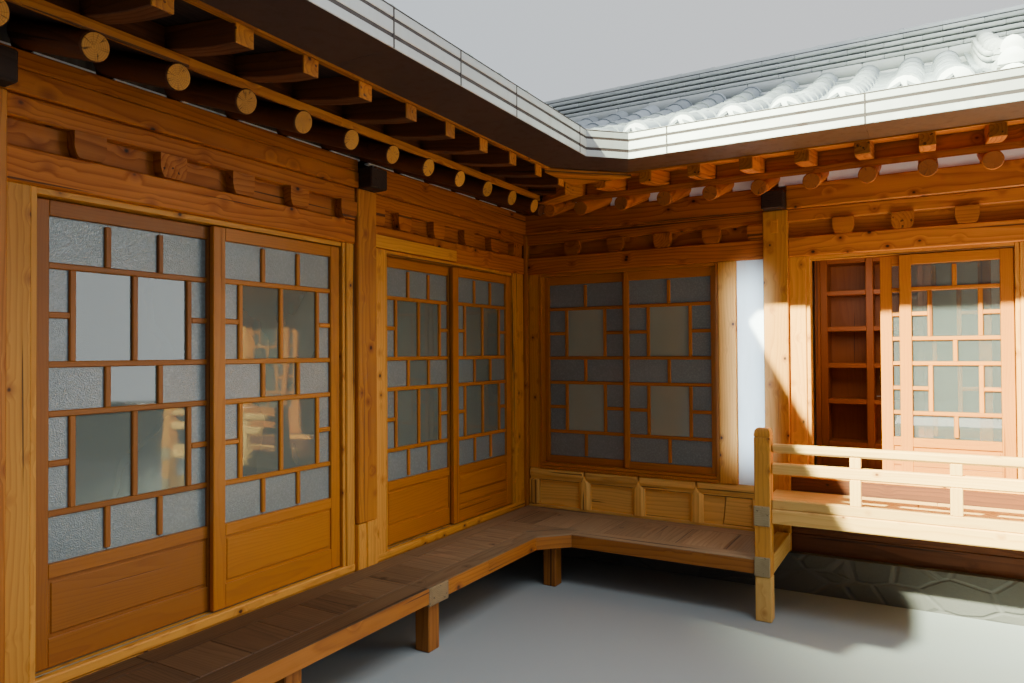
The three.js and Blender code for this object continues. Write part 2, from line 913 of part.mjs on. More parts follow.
const levelRidge = (wing, from, to) => wing.box(
  from,
  to,
  ridgeOffset - ridgeHalf,
  ridgeOffset + ridgeHalf,
  ridgeBedZ - ridgeSunk,
  ridgeBedZ + ridgeHeight,
);
const slopeRidge = (wing, from) => [1, -1].map((side) => wing.section(
  descendingPoints(side, eaveReach - slopeRidgeEnd), from, from + slopeRidgeWidth));
const mainRidge = join(
  levelRidge(west, southGable + ridgeEndInset, ridgeOffset + ridgeHalf),
  levelRidge(north, -ridgeOffset, eastGable - ridgeEndInset),
  hipRidge(),
  slopeRidge(west, slopeRidgeSouth),
  slopeRidge(north, slopeRidgeEast),
);
add('roof_ridges', cut(mainRidge, tileBed('west', gap), tileBed('north', gap)), 'tile');

// Barge boards close the two gables

function bargeBoard(wing, a0, a1) {
  const end = eaveReach - bargeEnd;
  const lower = (out) => Math.max(boardZ(out) - bargeDepth, upperTop(out) - bargeEaveDepth);
  const upper = (out) => bedZ(out) - bargeBelowBed;
  const one = (side) => counterClockwise([
    ...steps.map((t) => [ridgeOffset - side * t * end, lower(t * end)]),
    ...steps.map((t) => [ridgeOffset - side * t * end, upper(t * end)]).reverse(),
  ]);
  return join(wing.section(one(1), a0, a1), wing.section(one(-1), a0, a1));
}

add('barge_board_south', bargeBoard(west, southGable - bargeThickness, southGable - gap), 'pine');
add('barge_board_east', bargeBoard(north, eastGable + gap, eastGable + bargeThickness), 'pine');

// Plastered walls of the outer sides, each one L of wall with its gable

const underRafters = (out) => boardZ(out) - boardThickness - 2 * rafterHalfHeight - gap;

function outerWall(wing, first, last, face, sign) {
  const inner = face - sign * (wallInset + wallThickness);
  const outer = face - sign * wallInset;
  const near = Math.min(inner, outer);
  const far = Math.max(inner, outer);
  const back = outerLine - halfColumn - gap;
  const beamSide = ridgeBeamHalf + 1;
  const long = wing.box(first, last, wallBack, wallFace, plinthTop, bearerTop);
  const end = wing.box(near, far, columnSize + gap, wallFace, plinthTop, bearerTop);
  const apex = [
    [columnSize + gap, bearerTop - 1],
    [back, bearerTop - 1],
    [back, underRafters(back + gap - ridgeOffset)],
    [ridgeOffset + beamSide, underRafters(beamSide)],
    [ridgeOffset + beamSide, ridgeBeamBottom],
    [ridgeOffset - beamSide, ridgeBeamBottom],
    [ridgeOffset - beamSide, underRafters(beamSide)],
    [columnSize + gap, underRafters(ridgeOffset - columnSize)],
  ];
  const gable = wing.section(counterClockwise(apex), near, far);
  return join(long, end, gable);
}

const walls = {
  west: outerWall(west, southEnd + wallInset, wallFace, southEnd, -1),
  north: outerWall(north, -wallBack + gap, eastEnd - wallInset, eastEnd, 1),
};
const frameTools = [westFrame, northFrame];

function fitted(wall) {
  let solid = cut(wall, frameTools);
  for (const [x, y] of innerColumns) {
    solid = solid.subtract(columnBox(x, y, 0, bearerTop));
  }
  return solid;
}

add('outer_wall_west', fitted(walls.west), 'plaster');
add('outer_wall_north', fitted(walls.north), 'plaster');

// Door and window frames of the courtyard sides: studs, head, sill and track ribs

function openingFrame(wing, opening, fromStud, toStud, sillBottom) {
  const { from, to, sill } = opening;
  const parts = [
    wing.box(fromStud, from, studDepthFrom, studDepthTo, sillBottom, lintelBottom - gap),
    wing.box(to, toStud, studDepthFrom, studDepthTo, sillBottom, lintelBottom - gap),
    wing.box(from, to, trackDepthFrom, trackDepthTo, headBottom, lintelBottom - gap),
    wing.box(from, to, sillDepthFrom, studDepthTo, sillBottom, sill),
  ];
  return join(parts);
}

add('door_frame_west_south', openingFrame(
  west, westDoorSouth, southColumnY + halfColumn, westColumnY - halfColumn, plinthTop), 'pine');
add('door_frame_west_north', openingFrame(
  west, westDoorNorth, westColumnY + halfColumn, -gap, plinthTop), 'pine');
add('door_frame_deck', openingFrame(
  north, deckDoor, northColumnX + halfColumn, eastColumnX - halfColumn, plinthTop), 'pine');

function windowFrame() {
  const { from, to, sill } = cornerWindow;
  const top = lintelBottom - gap;
  return join(
    north.box(gap, from - casing, studDepthFrom, studDepthTo, wainscotTop, top),
    north.box(from - casing, from, casingDepth, trackDepthTo, wainscotTop, top),
    north.box(to, to + casing, casingDepth, trackDepthTo, wainscotTop, top),
    north.box(to + casing, plasterFrom, eastStudDepth, studDepthTo, wainscotTop, top),
    north.box(from, to, casingDepth, trackDepthTo, headBottom, top),
    north.box(from, to, windowSillDepth, trackDepthTo, wainscotTop, sill),
  );
}

add('window_frame', windowFrame(), 'redPine');
add('plaster_strip', north.box(
  plasterFrom,
  northColumnX - halfColumn,
  plasterFace,
  friezeBack,
  wainscotTop,
  lintelBottom - gap,
), 'plaster');

// Panelled base under the window: rails and stubs around sunk panels

function wainscot() {
  const from = gap;
  const to = northColumnX - halfColumn;
  const parts = [
    north.box(from, to, sunkPanelFace, friezeBack, plinthTop, wainscotTop - gap),
    north.box(from, to, wainscotFace, friezeBack, wainscotTop - topRailHeight, wainscotTop - gap),
    north.box(from, to, wainscotFace, friezeBack, plinthTop, benchTop + baseRailOver),
  ];
  for (const centre of stubPlaces) {
    const half = stubWidth / 2;
    parts.push(north.box(
      Math.max(centre - half, from),
      Math.min(centre + half, to),
      stubFace,
      friezeBack,
      plinthTop,
      wainscotTop - stubBelow,
    ));
  }
  return join(parts);
}

add('window_base', wainscot(), 'pine');

// Sliding leaves. Rows of lights run from the top; a split row has tall lights between
// two narrow columns that are halved by a short bar.

function latticeBars(wing, style, from, to, depth) {
  const bars = [];
  const pitch = (style.glassTop - style.glassBottom) / panelRows;
  const half = barWidth / 2;
  const near = depth - barDepth / 2;
  const far = depth + barDepth / 2;
  const rowZ = (row) => style.glassTop - row * pitch;
  const across = (row, a0, a1) => bars.push(
    wing.box(a0, a1, near, far, rowZ(row) - half, rowZ(row) + half));
  const upright = (along, top, bottom) => bars.push(
    wing.box(along - half, along + half, near, far, rowZ(bottom) - barTenon, rowZ(top) + barTenon));
  for (const row of [1, 3, 4, 6]) across(row, from - barTenon, to + barTenon);
  const lights = style.tallLights + 1;
  for (const [top, bottom] of [[0, 1], [3, 4], [6, 7]]) {
    for (let k = 1; k < lights; k += 1) upright(from + (to - from) * k / lights, top, bottom);
  }
  const left = from + style.narrow;
  const right = to - style.narrow;
  for (const [top, bottom] of [[1, 3], [4, 6]]) {
    upright(left, top, bottom);
    upright(right, top, bottom);
    if (style.tallLights === 2) upright((left + right) / 2, top, bottom);
    across(top + 1, from - barTenon, left);
    across(top + 1, right, to + barTenon);
  }
  return bars;
}

function leafFrame(wing, style, from, to, depth, sill) {
  const bottom = sill + leafClearance;
  const near = depth - leafThickness / 2;
  const far = depth + leafThickness / 2;
  const inner = [from + stileWidth, to - stileWidth];
  const whole = wing.box(from, to, near, far, bottom, leafTop);
  const lights = wing.box(inner[0], inner[1], near - 1, far + 1, style.glassBottom, style.glassTop);
  const panelTop = style.glassBottom - middleRailHeight;
  const sunk = wing.box(inner[0], inner[1], near - 1, near + panelSunk, bottom + bottomRail, panelTop);
  const leaf = cut(whole, lights, sunk);
  const shoes = [from + shoeInset, to - shoeInset - shoeLength].map((a) => wing.box(
    a, a + shoeLength, depth - shoeHalf, depth + shoeHalf, sill + gap, bottom + barTenon));
  return join(leaf, latticeBars(wing, style, inner[0], inner[1], depth), shoes);
}

// The pane sits in a rebate that leaves a gap all round, behind the lattice
function paneFor(wing, style, from, to, depth) {
  const near = depth + barDepth / 2 + gap;
  const edge = stileWidth + gap;
  return wing.box(
    from + edge, to - edge, near, near + glassThickness, style.glassBottom + gap, style.glassTop - gap);
}

function slidingLeaf(wing, name, style, from, to, depth, sill) {
  add(name, leafFrame(wing, style, from, to, depth, sill), 'redPine');
  add(`${name}_glass`, paneFor(wing, style, from, to, depth), 'glass');
}

function leafPair(wing, names, style, opening, spans) {
  slidingLeaf(wing, names[0], style, ...spans[0], innerTrack, opening.sill);
  slidingLeaf(wing, names[1], style, ...spans[1], outerTrack, opening.sill);
}

leafPair(west, ['door_1', 'door_2'], wingLeaf, westDoorSouth, leavesWestSouth);
leafPair(west, ['door_3', 'door_4'], wingLeaf, westDoorNorth, leavesWestNorth);
leafPair(north, ['deck_door_1', 'deck_door_2'], deckLeaf, deckDoor, leavesDeck);

// Window sashes, fixed for this part, one behind the other in the frame

function sash(from, to, depth) {
  const near = depth - leafThickness / 2;
  const far = depth + leafThickness / 2;
  const whole = north.box(from, to, near, far, cornerWindow.sill + gap, headBottom - gap);
  const hole = north.box(
    from + sashStile, to - sashStile, near - 1, far + 1, windowLeaf.glassBottom, windowLeaf.glassTop);
  return join(cut(whole, hole), latticeBars(north, windowLeaf, from + sashStile, to - sashStile, depth));
}

function sashPane(from, to, depth) {
  const near = depth + barDepth / 2 + gap;
  const edge = sashStile + gap;
  const bottom = windowLeaf.glassBottom + gap;
  return north.box(from + edge, to - edge, near, near + glassThickness, bottom, windowLeaf.glassTop - gap);
}

const sashFrom = cornerWindow.from + gap;
const sashTo = cornerWindow.to - gap;
add('window_sash_left', sash(sashFrom, meetingTo, innerTrack), 'redPine');
add('window_sash_right', sash(meetingFrom, sashTo, outerTrack), 'redPine');
add('window_glass_left', sashPane(sashFrom, meetingTo, innerTrack), 'glass');
add('window_glass_right', sashPane(meetingFrom, sashTo, outerTrack), 'glass');

// Shelf rack that shows through the open deck door: two bays between wide stiles

function shelfRack() {
  const { from, to, near, far, top, stile, back } = rack;
  const upright = (x0, x1) => north.box(x0, x1, near, far, deckTop, top);
  const across = (z0, z1) => north.box(from, to, near, far, z0, z1);
  return join(
    upright(from, from + stile),
    upright(...rackMiddle),
    upright(to - stile, to),
    north.box(from, to, far - back, far, deckTop, top),
    across(deckTop, rackBase),
    shelfTops.map((z) => across(z - shelfHeight, z)),
    across(top - shelfHeight, top),
  );
}

add('shelf_rack', shelfRack(), 'pineDark');

// Bench around the courtyard corner

const benchEnd = postWest - gap;

function benchOutline(inset, wallX = 0, wallY = 0) {
  const turn = inset * (Math.SQRT2 - 1);
  return [
    [wallX, southEnd],
    [benchFront - inset, southEnd],
    [benchFront - inset, -benchFrontNorth - benchChamfer + turn],
    [benchFront + benchChamfer - turn, -benchFrontNorth + inset],
    [benchEnd, -benchFrontNorth + inset],
    [benchEnd, wallY],
    [wallX, wallY],
  ];
}

const legX = benchFront - legInset - legSize;
const benchLegs = [
  [legX, southEnd + apronThickness],
  ...legsAlongBench.map((y) => [legX, y]),
  cornerLeg,
];
const boardBottom = benchTop - benchBoard;

// The boards lie inside the apron, at one level with its top
function boardField(edge) {
  return benchOutline(apronThickness + edge, -sillDepthFrom + gap, wainscotFace - gap).map(([x, y]) => [
    x, Math.max(y, southEnd + apronThickness + edge)]);
}

function benchBase() {
  const outer = slab(benchOutline(0), benchTop - apronHeight, benchTop);
  const hollow = slab(benchOutline(apronThickness).map(([x, y]) => [
    x === 0 ? ledgerThickness : x,
    y === 0 ? -ledgerThickness : Math.max(y, southEnd + apronThickness),
  ]), benchTop - apronHeight - 1, benchTop + 1);
  const parts = [cut(outer, hollow, slab(boardField(0), boardBottom, benchTop + 1))];
  for (const [x, y] of benchLegs) {
    parts.push(box(x, x + legSize, y, y + legSize, 0, boardBottom));
  }
  const joistBottom = boardBottom - joistHeight;
  for (const y of westJoists) {
    parts.push(box(joistInset, benchFront - joistInset, y, y + joistWidth, joistBottom, boardBottom));
  }
  for (const x of northJoists) {
    const front = -benchFrontNorth + joistInset;
    parts.push(box(x, x + joistWidth, front, -joistInset, joistBottom, boardBottom));
  }
  return join(parts);
}

add('bench_base', benchBase(), 'redPine');
const columnNotches = innerColumns.map(([x, y]) => columnBox(x, y, 0, bearerTop, gap));
add('bench_boards', cut(slab(boardField(gap), boardBottom, benchTop), columnNotches), 'benchWood');

// Raised deck in front of the deck room, with its posts and rails

const deckEast = eastEnd;
const endPostWest = deckEast - postSize;
const deckBoardBottom = deckTop - deckBoard;

function post(x) {
  const back = -postFront + postSize;
  const shaft = box(x, x + postSize, -postFront, back, 0, shaftTop);
  const neck = box(
    x + neckInset,
    x + postSize - neckInset,
    -postFront + neckInset,
    back - neckInset,
    shaftTop - 1,
    neckTop,
  );
  const middle = [x + postSize / 2, -postFront + postSize / 2];
  const cap = loft(capRings.map(([half, rise]) => [[-1, -1], [1, -1], [1, 1], [-1, 1]].map(([i, j]) => [
    middle[0] + i * half, middle[1] + j * half, neckTop - 1 + rise])));
  return join(shaft, neck, cap);
}

function postTie(x) {
  return box(
    x + tieInset,
    x + postSize - tieInset,
    -postFront + postSize - bite,
    -gap,
    tieBottom,
    tieTop,
  );
}

function deckBase() {
  const from = postWest + postSize;
  const fasciaBack = -deckFront + fasciaThickness;
  const joistTop = deckBoardBottom - gap;
  const joists = [postWest + joistInset, ...deckJoists, endPostWest + joistInset];
  const ledgerFront = -joistInset - deckJoistWidth;
  return join(
    post(postWest),
    post(endPostWest),
    postTie(postWest),
    postTie(endPostWest),
    box(from - bite, endPostWest + bite, -deckFront, fasciaBack, fasciaBottom, deckTop),
    joists.map((x) => box(x, x + deckJoistWidth, fasciaBack - bite, -gap, fasciaBottom, joistTop)),
    box(postWest + legInset, endPostWest + legInset, ledgerFront, -joistInset, fasciaBottom, joistTop),
  );
}

add('deck_base', deckBase(), 'pine');
add('deck_boards', box(
  postWest, deckEast, -postFront + postSize + gap, -gap, deckBoardBottom, deckTop), 'pine');

function railing() {
  const from = postWest + postSize + gap;
  const to = endPostWest - gap;
  const near = -deckFront + railFront;
  const far = near + railDepth;
  const parts = [
    box(from, to, near, far, deckTop + gap, bottomRailTop),
    box(from, to, near, far, ...middleRailLevels),
    box(from, to, near - handrailOver, far + handrailOver, ...handrailLevels),
  ];
  for (const x of shortPosts) {
    parts.push(box(
      x - shortPostHalf,
      x + shortPostHalf,
      near + shortPostInset,
      far - shortPostInset,
      bottomRailTop - bite,
      handrailLevels[0] + bite,
    ));
  }
  return join(parts);
}

add('deck_railing', railing(), 'pine');

// Metal gutter along both courtyard eaves, with a cut corner, and the sheet under the eave

const gutterWidth = gutterWide - gap;
const gutterSouth = southGable + gutterEndInset;
const gutterEast = eastGable - gutterEndInset;

function gutterBand(near, far, south, east) {
  const edge = (t) => {
    const turn = t * (Math.SQRT2 - 1);
    return [
      [gutterFront - t, -gutterFront - gutterChamfer + turn],
      [gutterFront + gutterChamfer - turn, -gutterFront + t],
    ];
  };
  const [a, b] = edge(near);
  const [c, d] = edge(far);
  return [
    [gutterFront - far, south],
    [gutterFront - near, south],
    a,
    b,
    [east, -gutterFront + near],
    [east, -gutterFront + far],
    d,
    c,
  ];
}

function gutter() {
  const outer = slab(gutterBand(0, gutterWidth, gutterSouth, gutterEast), gutterBottom, gutterTop);
  const inner = slab(
    gutterBand(metal, gutterWidth - metal, gutterSouth + metal, gutterEast - metal),
    gutterBottom + metal,
    gutterTop + 1,
  );
  return cut(outer, inner);
}

add('gutter', gutter(), 'gutter');

const soffitBottom = gutterBottom + 1;
const soffitInner = gutterFront - flyingOut - soffitPast - gap;
add('eave_soffit', slab(
  gutterBand(gutterWidth + gap, soffitInner, gutterSouth, gutterEast),
  soffitBottom,
  soffitBottom + soffitThickness,
), 'soffit');

export default house;
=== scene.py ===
import math
import random

import bmesh
import bpy
import numpy as np
from mathutils import Matrix, Vector


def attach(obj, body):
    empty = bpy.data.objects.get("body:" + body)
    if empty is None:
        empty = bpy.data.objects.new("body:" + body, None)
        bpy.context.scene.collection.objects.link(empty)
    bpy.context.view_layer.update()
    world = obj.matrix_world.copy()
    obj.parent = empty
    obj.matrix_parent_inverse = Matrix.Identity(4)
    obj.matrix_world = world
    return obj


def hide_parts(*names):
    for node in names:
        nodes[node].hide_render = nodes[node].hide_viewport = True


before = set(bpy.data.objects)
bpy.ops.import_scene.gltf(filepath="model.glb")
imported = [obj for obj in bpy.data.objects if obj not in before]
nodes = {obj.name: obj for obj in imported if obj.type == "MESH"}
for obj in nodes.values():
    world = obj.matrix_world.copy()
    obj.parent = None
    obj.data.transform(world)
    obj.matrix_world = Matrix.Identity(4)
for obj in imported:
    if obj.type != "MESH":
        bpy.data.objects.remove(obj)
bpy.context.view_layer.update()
print("house frame loaded,", len(nodes), "solids")

# Camera and light

viewpoint = {
    "place": (3.375, -6.073, 1.900),
    "yaw": 30.235,      # degrees from +Y towards -X
    "pitch": 0.852,
    "roll": -0.351,
    "lens": 25.306,     # mm, on a sensor this wide
    "sensor": 36,
    "farthest": 200,
}


def addCamera():
    yaw, pitch, roll = (math.radians(viewpoint[k]) for k in ("yaw", "pitch", "roll"))
    ahead = Vector((-math.sin(yaw) * math.cos(pitch), math.cos(yaw) * math.cos(pitch), math.sin(pitch)))
    level = Vector((math.cos(yaw), math.sin(yaw), 0))
    above = level.cross(ahead)
    right = math.cos(roll) * level + math.sin(roll) * above
    up = math.cos(roll) * above - math.sin(roll) * level
    data = bpy.data.cameras.new("courtyardCamera")
    data.lens = viewpoint["lens"]
    data.sensor_width = viewpoint["sensor"]
    data.clip_end = viewpoint["farthest"]
    camera = bpy.data.objects.new("courtyardCamera", data)
    turn = Matrix((right, up, -ahead)).transposed().to_4x4()
    camera.matrix_world = Matrix.Translation(viewpoint["place"]) @ turn
    bpy.context.scene.collection.objects.link(camera)
    bpy.context.scene.camera = camera


lighting = {
    # the sky is palest overhead and behind the house
    "sky": ((0.0, (0.030, 0.033, 0.036)), (0.45, (0.20, 0.22, 0.24)),
            (0.80, (0.80, 0.88, 0.95)), (1.0, (1.0, 1.0, 1.0))),
    "skyPale": (0.25, 0.68, 0.69),
    "skyStrength": 0.95,
    # a soft key lamp stands far off, where the low sun is, and lights the north wing
    "key": {"power": 3200000, "colour": (0.88, 1.0, 0.74), "target": (3.9, -0.2, 2.2), "from": (-0.600, -1.378, 1.0),
            "distance": 40.0, "spread": 3.8, "edge": 0.3, "radius": 0.9},
    "boxes": {
        # power, size across and up, place, what it faces, colour, spread in degrees
        "sideBox": (220, (5.0, 4.0), (8.6, 2.6, 3.0), (0.0, -2.2, 1.6), (0.90, 0.96, 1.0), 180),
        "overheadBox": (380, (4.5, 4.0), (4.7, -2.0, 7.2), (2.4, -1.4, 0.0), (0.84, 0.93, 1.0), 180),
        "insideBox": (9, (1.2, 0.5), (3.1, 0.55, 2.45), (2.9, 1.6, 1.7), (1.0, 0.86, 0.66), 180),
        "bounceBox": (26, (1.7, 0.45), (3.95, -0.72, 1.30), (3.95, -0.60, 3.0), (1.0, 0.88, 0.70), 180),
        "plasterBox": (4.6, (0.10, 1.5), (1.80, -2.3, 1.75), (2.06, 0.0, 1.75), (0.70, 0.92, 1.0), 13),
    },
}


def addLamp(name, kind, power, colour, start, towards):
    data = bpy.data.lights.new(name, kind)
    data.energy, data.color = power, colour
    lamp = bpy.data.objects.new(name, data)
    lamp.location = start
    lamp.rotation_euler = (Vector(towards) - Vector(start)).to_track_quat("-Z", "Y").to_euler()
    lamp.visible_camera = False
    bpy.context.scene.collection.objects.link(lamp)
    return data


def addLights():
    key = lighting["key"]
    start = Vector(key["target"]) + Vector(key["from"]) * key["distance"]
    lamp = addLamp("softKey", "SPOT", key["power"], key["colour"], start, key["target"])
    lamp.spot_size, lamp.spot_blend = math.radians(key["spread"]), key["edge"]
    lamp.shadow_soft_size = key["radius"]
    for name, (power, size, start, towards, colour, spread) in lighting["boxes"].items():
        lamp = addLamp(name, "AREA", power, colour, start, towards)
        lamp.shape = "RECTANGLE"
        lamp.size, lamp.size_y = size
        lamp.spread = math.radians(spread)


# Node helpers. A wire is an output of a node, which takes sums and products like a number.


class Wire:
    def __init__(self, tree, socket):
        self.tree, self.socket = tree, socket

    def __add__(self, other):
        return calc("ADD", self, other)

    def __radd__(self, other):
        return calc("ADD", other, self)

    def __sub__(self, other):
        return calc("SUBTRACT", self, other)

    def __rsub__(self, other):
        return calc("SUBTRACT", other, self)

    def __mul__(self, other):
        return calc("MULTIPLY", self, other)

    def __truediv__(self, other):
        return calc("DIVIDE", self, other)

    def clamped(self):
        self.socket.node.use_clamp = True
        return self


def link(value, socket):
    if isinstance(value, Wire):
        value.tree.links.new(value.socket, socket)
    elif value is not None:
        socket.default_value = (*value, 1) if socket.type == "RGBA" and len(value) == 3 else value


def node(tree, kind, inputs=None, output=0, **settings):
    made = tree.nodes.new(kind)
    for key, value in settings.items():
        setattr(made, key, value)
    for key, value in (inputs or {}).items():
        link(value, made.inputs[key])
    return Wire(tree, made.outputs[output]) if made.outputs else made


def calc(operation, a, b=None):
    tree = (a if isinstance(a, Wire) else b).tree
    return node(tree, "ShaderNodeMath", {0: a, 1: b}, operation=operation)


def vectorCalc(operation, a, b, output=0):
    return node(a.tree, "ShaderNodeVectorMath", {0: a, 1: b}, output, operation=operation)


def axesOf(vector):
    split = node(vector.tree, "ShaderNodeSeparateXYZ", {0: vector})
    return [Wire(vector.tree, socket) for socket in split.socket.node.outputs]


def blend(factor, a, b):
    return node(factor.tree, "ShaderNodeMix", {0: factor, 6: a, 7: b}, 2, data_type="RGBA")


def steps(factor, *stops):
    ramp = node(factor.tree, "ShaderNodeValToRGB", {0: factor})
    elements = ramp.socket.node.color_ramp.elements
    elements[0].position, elements[1].position = stops[0][0], stops[-1][0]
    for at, _ in stops[1:-1]:
        elements.new(at)
    for element, (_, shade) in zip(elements, stops):
        element.color = (shade, shade, shade, 1) if isinstance(shade, (int, float)) else (*shade, 1)
    return ramp


def noise(vector, scale, detail=4.0, rough=0.5, output="Fac"):
    return node(vector.tree, "ShaderNodeTexNoise", {
        "Vector": vector, "Scale": scale, "Detail": detail, "Roughness": rough, "Distortion": 0.0}, output)


def stretch(vector, scale, shift=(0, 0, 0)):
    return node(vector.tree, "ShaderNodeMapping", {"Vector": vector, "Scale": scale, "Location": shift})


def shaded(colour, value):
    return node(colour.tree, "ShaderNodeHueSaturation", {"Color": colour, "Value": value})


def attribute(tree, name, output):
    return node(tree, "ShaderNodeAttribute", output=output, attribute_name=name)


def newMaterial(name):
    material = bpy.data.materials.new(name)
    material.use_nodes = True
    return material


def ownSpace(material):
    return node(material.node_tree, "ShaderNodeTexCoord", output="Object")


def dress(material, colour, rough, relief=None, others=None):
    # relief is a height with the strength and the distance of its bump
    values = {"Base Color": colour, "Roughness": rough, **(others or {})}
    if relief:
        height, strength, distance = relief
        values["Normal"] = node(material.node_tree, "ShaderNodeBump", {
            "Height": height, "Strength": strength, "Distance": distance})
    for key, value in values.items():
        link(value, material.node_tree.nodes["Principled BSDF"].inputs[key])
    return material


def addSky():
    world = bpy.data.worlds.new("studio")
    bpy.context.scene.world = world
    world.use_nodes = True
    background = world.node_tree.nodes["Background"].inputs
    direction = node(world.node_tree, "ShaderNodeTexCoord", output="Generated")
    facing = vectorCalc("DOT_PRODUCT", direction, lighting["skyPale"], "Value")
    link(steps(facing * 0.5 + 0.5, *lighting["sky"]), background["Color"])
    background["Strength"].default_value = lighting["skyStrength"]


addCamera()
addLights()
addSky()
print("camera, lights and sky set")

# Wood

woods = {
    # light and dark growth rings, knots, their halo; width of a ring, knots to a metre, size of
    # a knot, contrast, streaks, roughness, how much one piece differs from the next
    "honeyPine": ((0.56, 0.195, 0.022), (0.27, 0.067, 0.007), (0.030, 0.009, 0.003), (0.22, 0.045, 0.004),
                  0.026, 7.0, 0.115, 0.66, 0.6, 0.42, 0.40),
    "friezePine": ((0.50, 0.145, 0.011), (0.22, 0.042, 0.003), (0.026, 0.007, 0.002), (0.18, 0.033, 0.003),
                   0.028, 6.0, 0.115, 0.7, 0.65, 0.5, 0.45),
    "paleStud": ((0.70, 0.300, 0.040), (0.44, 0.145, 0.015), (0.055, 0.018, 0.005), (0.34, 0.095, 0.010),
                 0.024, 8.5, 0.130, 0.55, 0.45, 0.45, 0.24),
    "doorWood": ((0.50, 0.165, 0.013), (0.34, 0.092, 0.007), (0.20, 0.050, 0.006), (0.30, 0.080, 0.007),
                 0.016, 2.5, 0.03, 0.42, 0.25, 0.36, 0.22),
    # the door wood darkened as painted shade, for door_1
    "doorShade": ((0.33, 0.105, 0.011), (0.22, 0.060, 0.006), (0.14, 0.036, 0.005), (0.20, 0.055, 0.006),
                  0.016, 2.5, 0.03, 0.42, 0.25, 0.40, 0.22),
    # pine paled as painted sunlight, for the deck, its boards and its rail
    "railPinePaintedLight": ((0.80, 0.46, 0.130), (0.58, 0.27, 0.055), (0.16, 0.055, 0.015), (0.48, 0.19, 0.035),
                 0.022, 7.0, 0.09, 0.5, 0.4, 0.5, 0.2),
    "benchOak": ((0.098, 0.046, 0.019), (0.052, 0.024, 0.010), (0.020, 0.009, 0.005), (0.050, 0.020, 0.008),
                 0.02, 4.0, 0.06, 0.55, 0.6, 0.48, 0.42),
    "apronWood": ((0.40, 0.135, 0.018), (0.20, 0.055, 0.007), (0.045, 0.014, 0.005), (0.18, 0.045, 0.006),
                  0.03, 5.0, 0.10, 0.65, 0.65, 0.5, 0.3),
    "shelfWood": ((0.36, 0.088, 0.011), (0.22, 0.045, 0.006), (0.09, 0.02, 0.004), (0.18, 0.04, 0.006),
                  0.02, 3.0, 0.04, 0.4, 0.3, 0.4, 0.25),
    "wainscotPine": ((0.92, 0.52, 0.125), (0.62, 0.285, 0.055), (0.10, 0.035, 0.010), (0.24, 0.09, 0.014),
                     0.030, 3.2, 0.045, 0.62, 0.6, 0.42, 0.3),
    "greyEnd": ((0.29, 0.190, 0.090), (0.17, 0.102, 0.045), (0.06, 0.04, 0.025), (0.14, 0.10, 0.06),
                0.012, 5.0, 0.05, 0.6, 0.6, 0.75, 0.3),
    "postEnd": ((0.42, 0.31, 0.16), (0.27, 0.185, 0.09), (0.10, 0.065, 0.03), (0.22, 0.15, 0.08),
                0.012, 5.0, 0.05, 0.6, 0.6, 0.75, 0.3),
    # pine darkened as painted shade, for the west eave timbers and the boards under the deck
    "paintedShadeTimber": ((0.135, 0.038, 0.009), (0.056, 0.015, 0.005), (0.02, 0.007, 0.003), (0.09, 0.024, 0.006),
                   0.028, 5.0, 0.09, 0.6, 0.6, 0.55, 0.4),
    "benchGrey": ((0.36, 0.235, 0.125), (0.20, 0.12, 0.062), (0.04, 0.02, 0.012), (0.10, 0.055, 0.03),
                  0.02, 4.0, 0.06, 0.55, 0.6, 0.52, 0.3),
    "darkBeam": ((0.040, 0.020, 0.012), (0.018, 0.009, 0.006), (0.01, 0.006, 0.004), (0.02, 0.01, 0.007),
                 0.02, 4.0, 0.05, 0.5, 0.4, 0.6, 0.2),
}
# the bench boards are paler the nearer they lie to the corner of the courtyard
cornerPale = {"light": (0.33, 0.205, 0.105), "dark": (0.18, 0.100, 0.050), "from": 3.1, "over": 2.1}


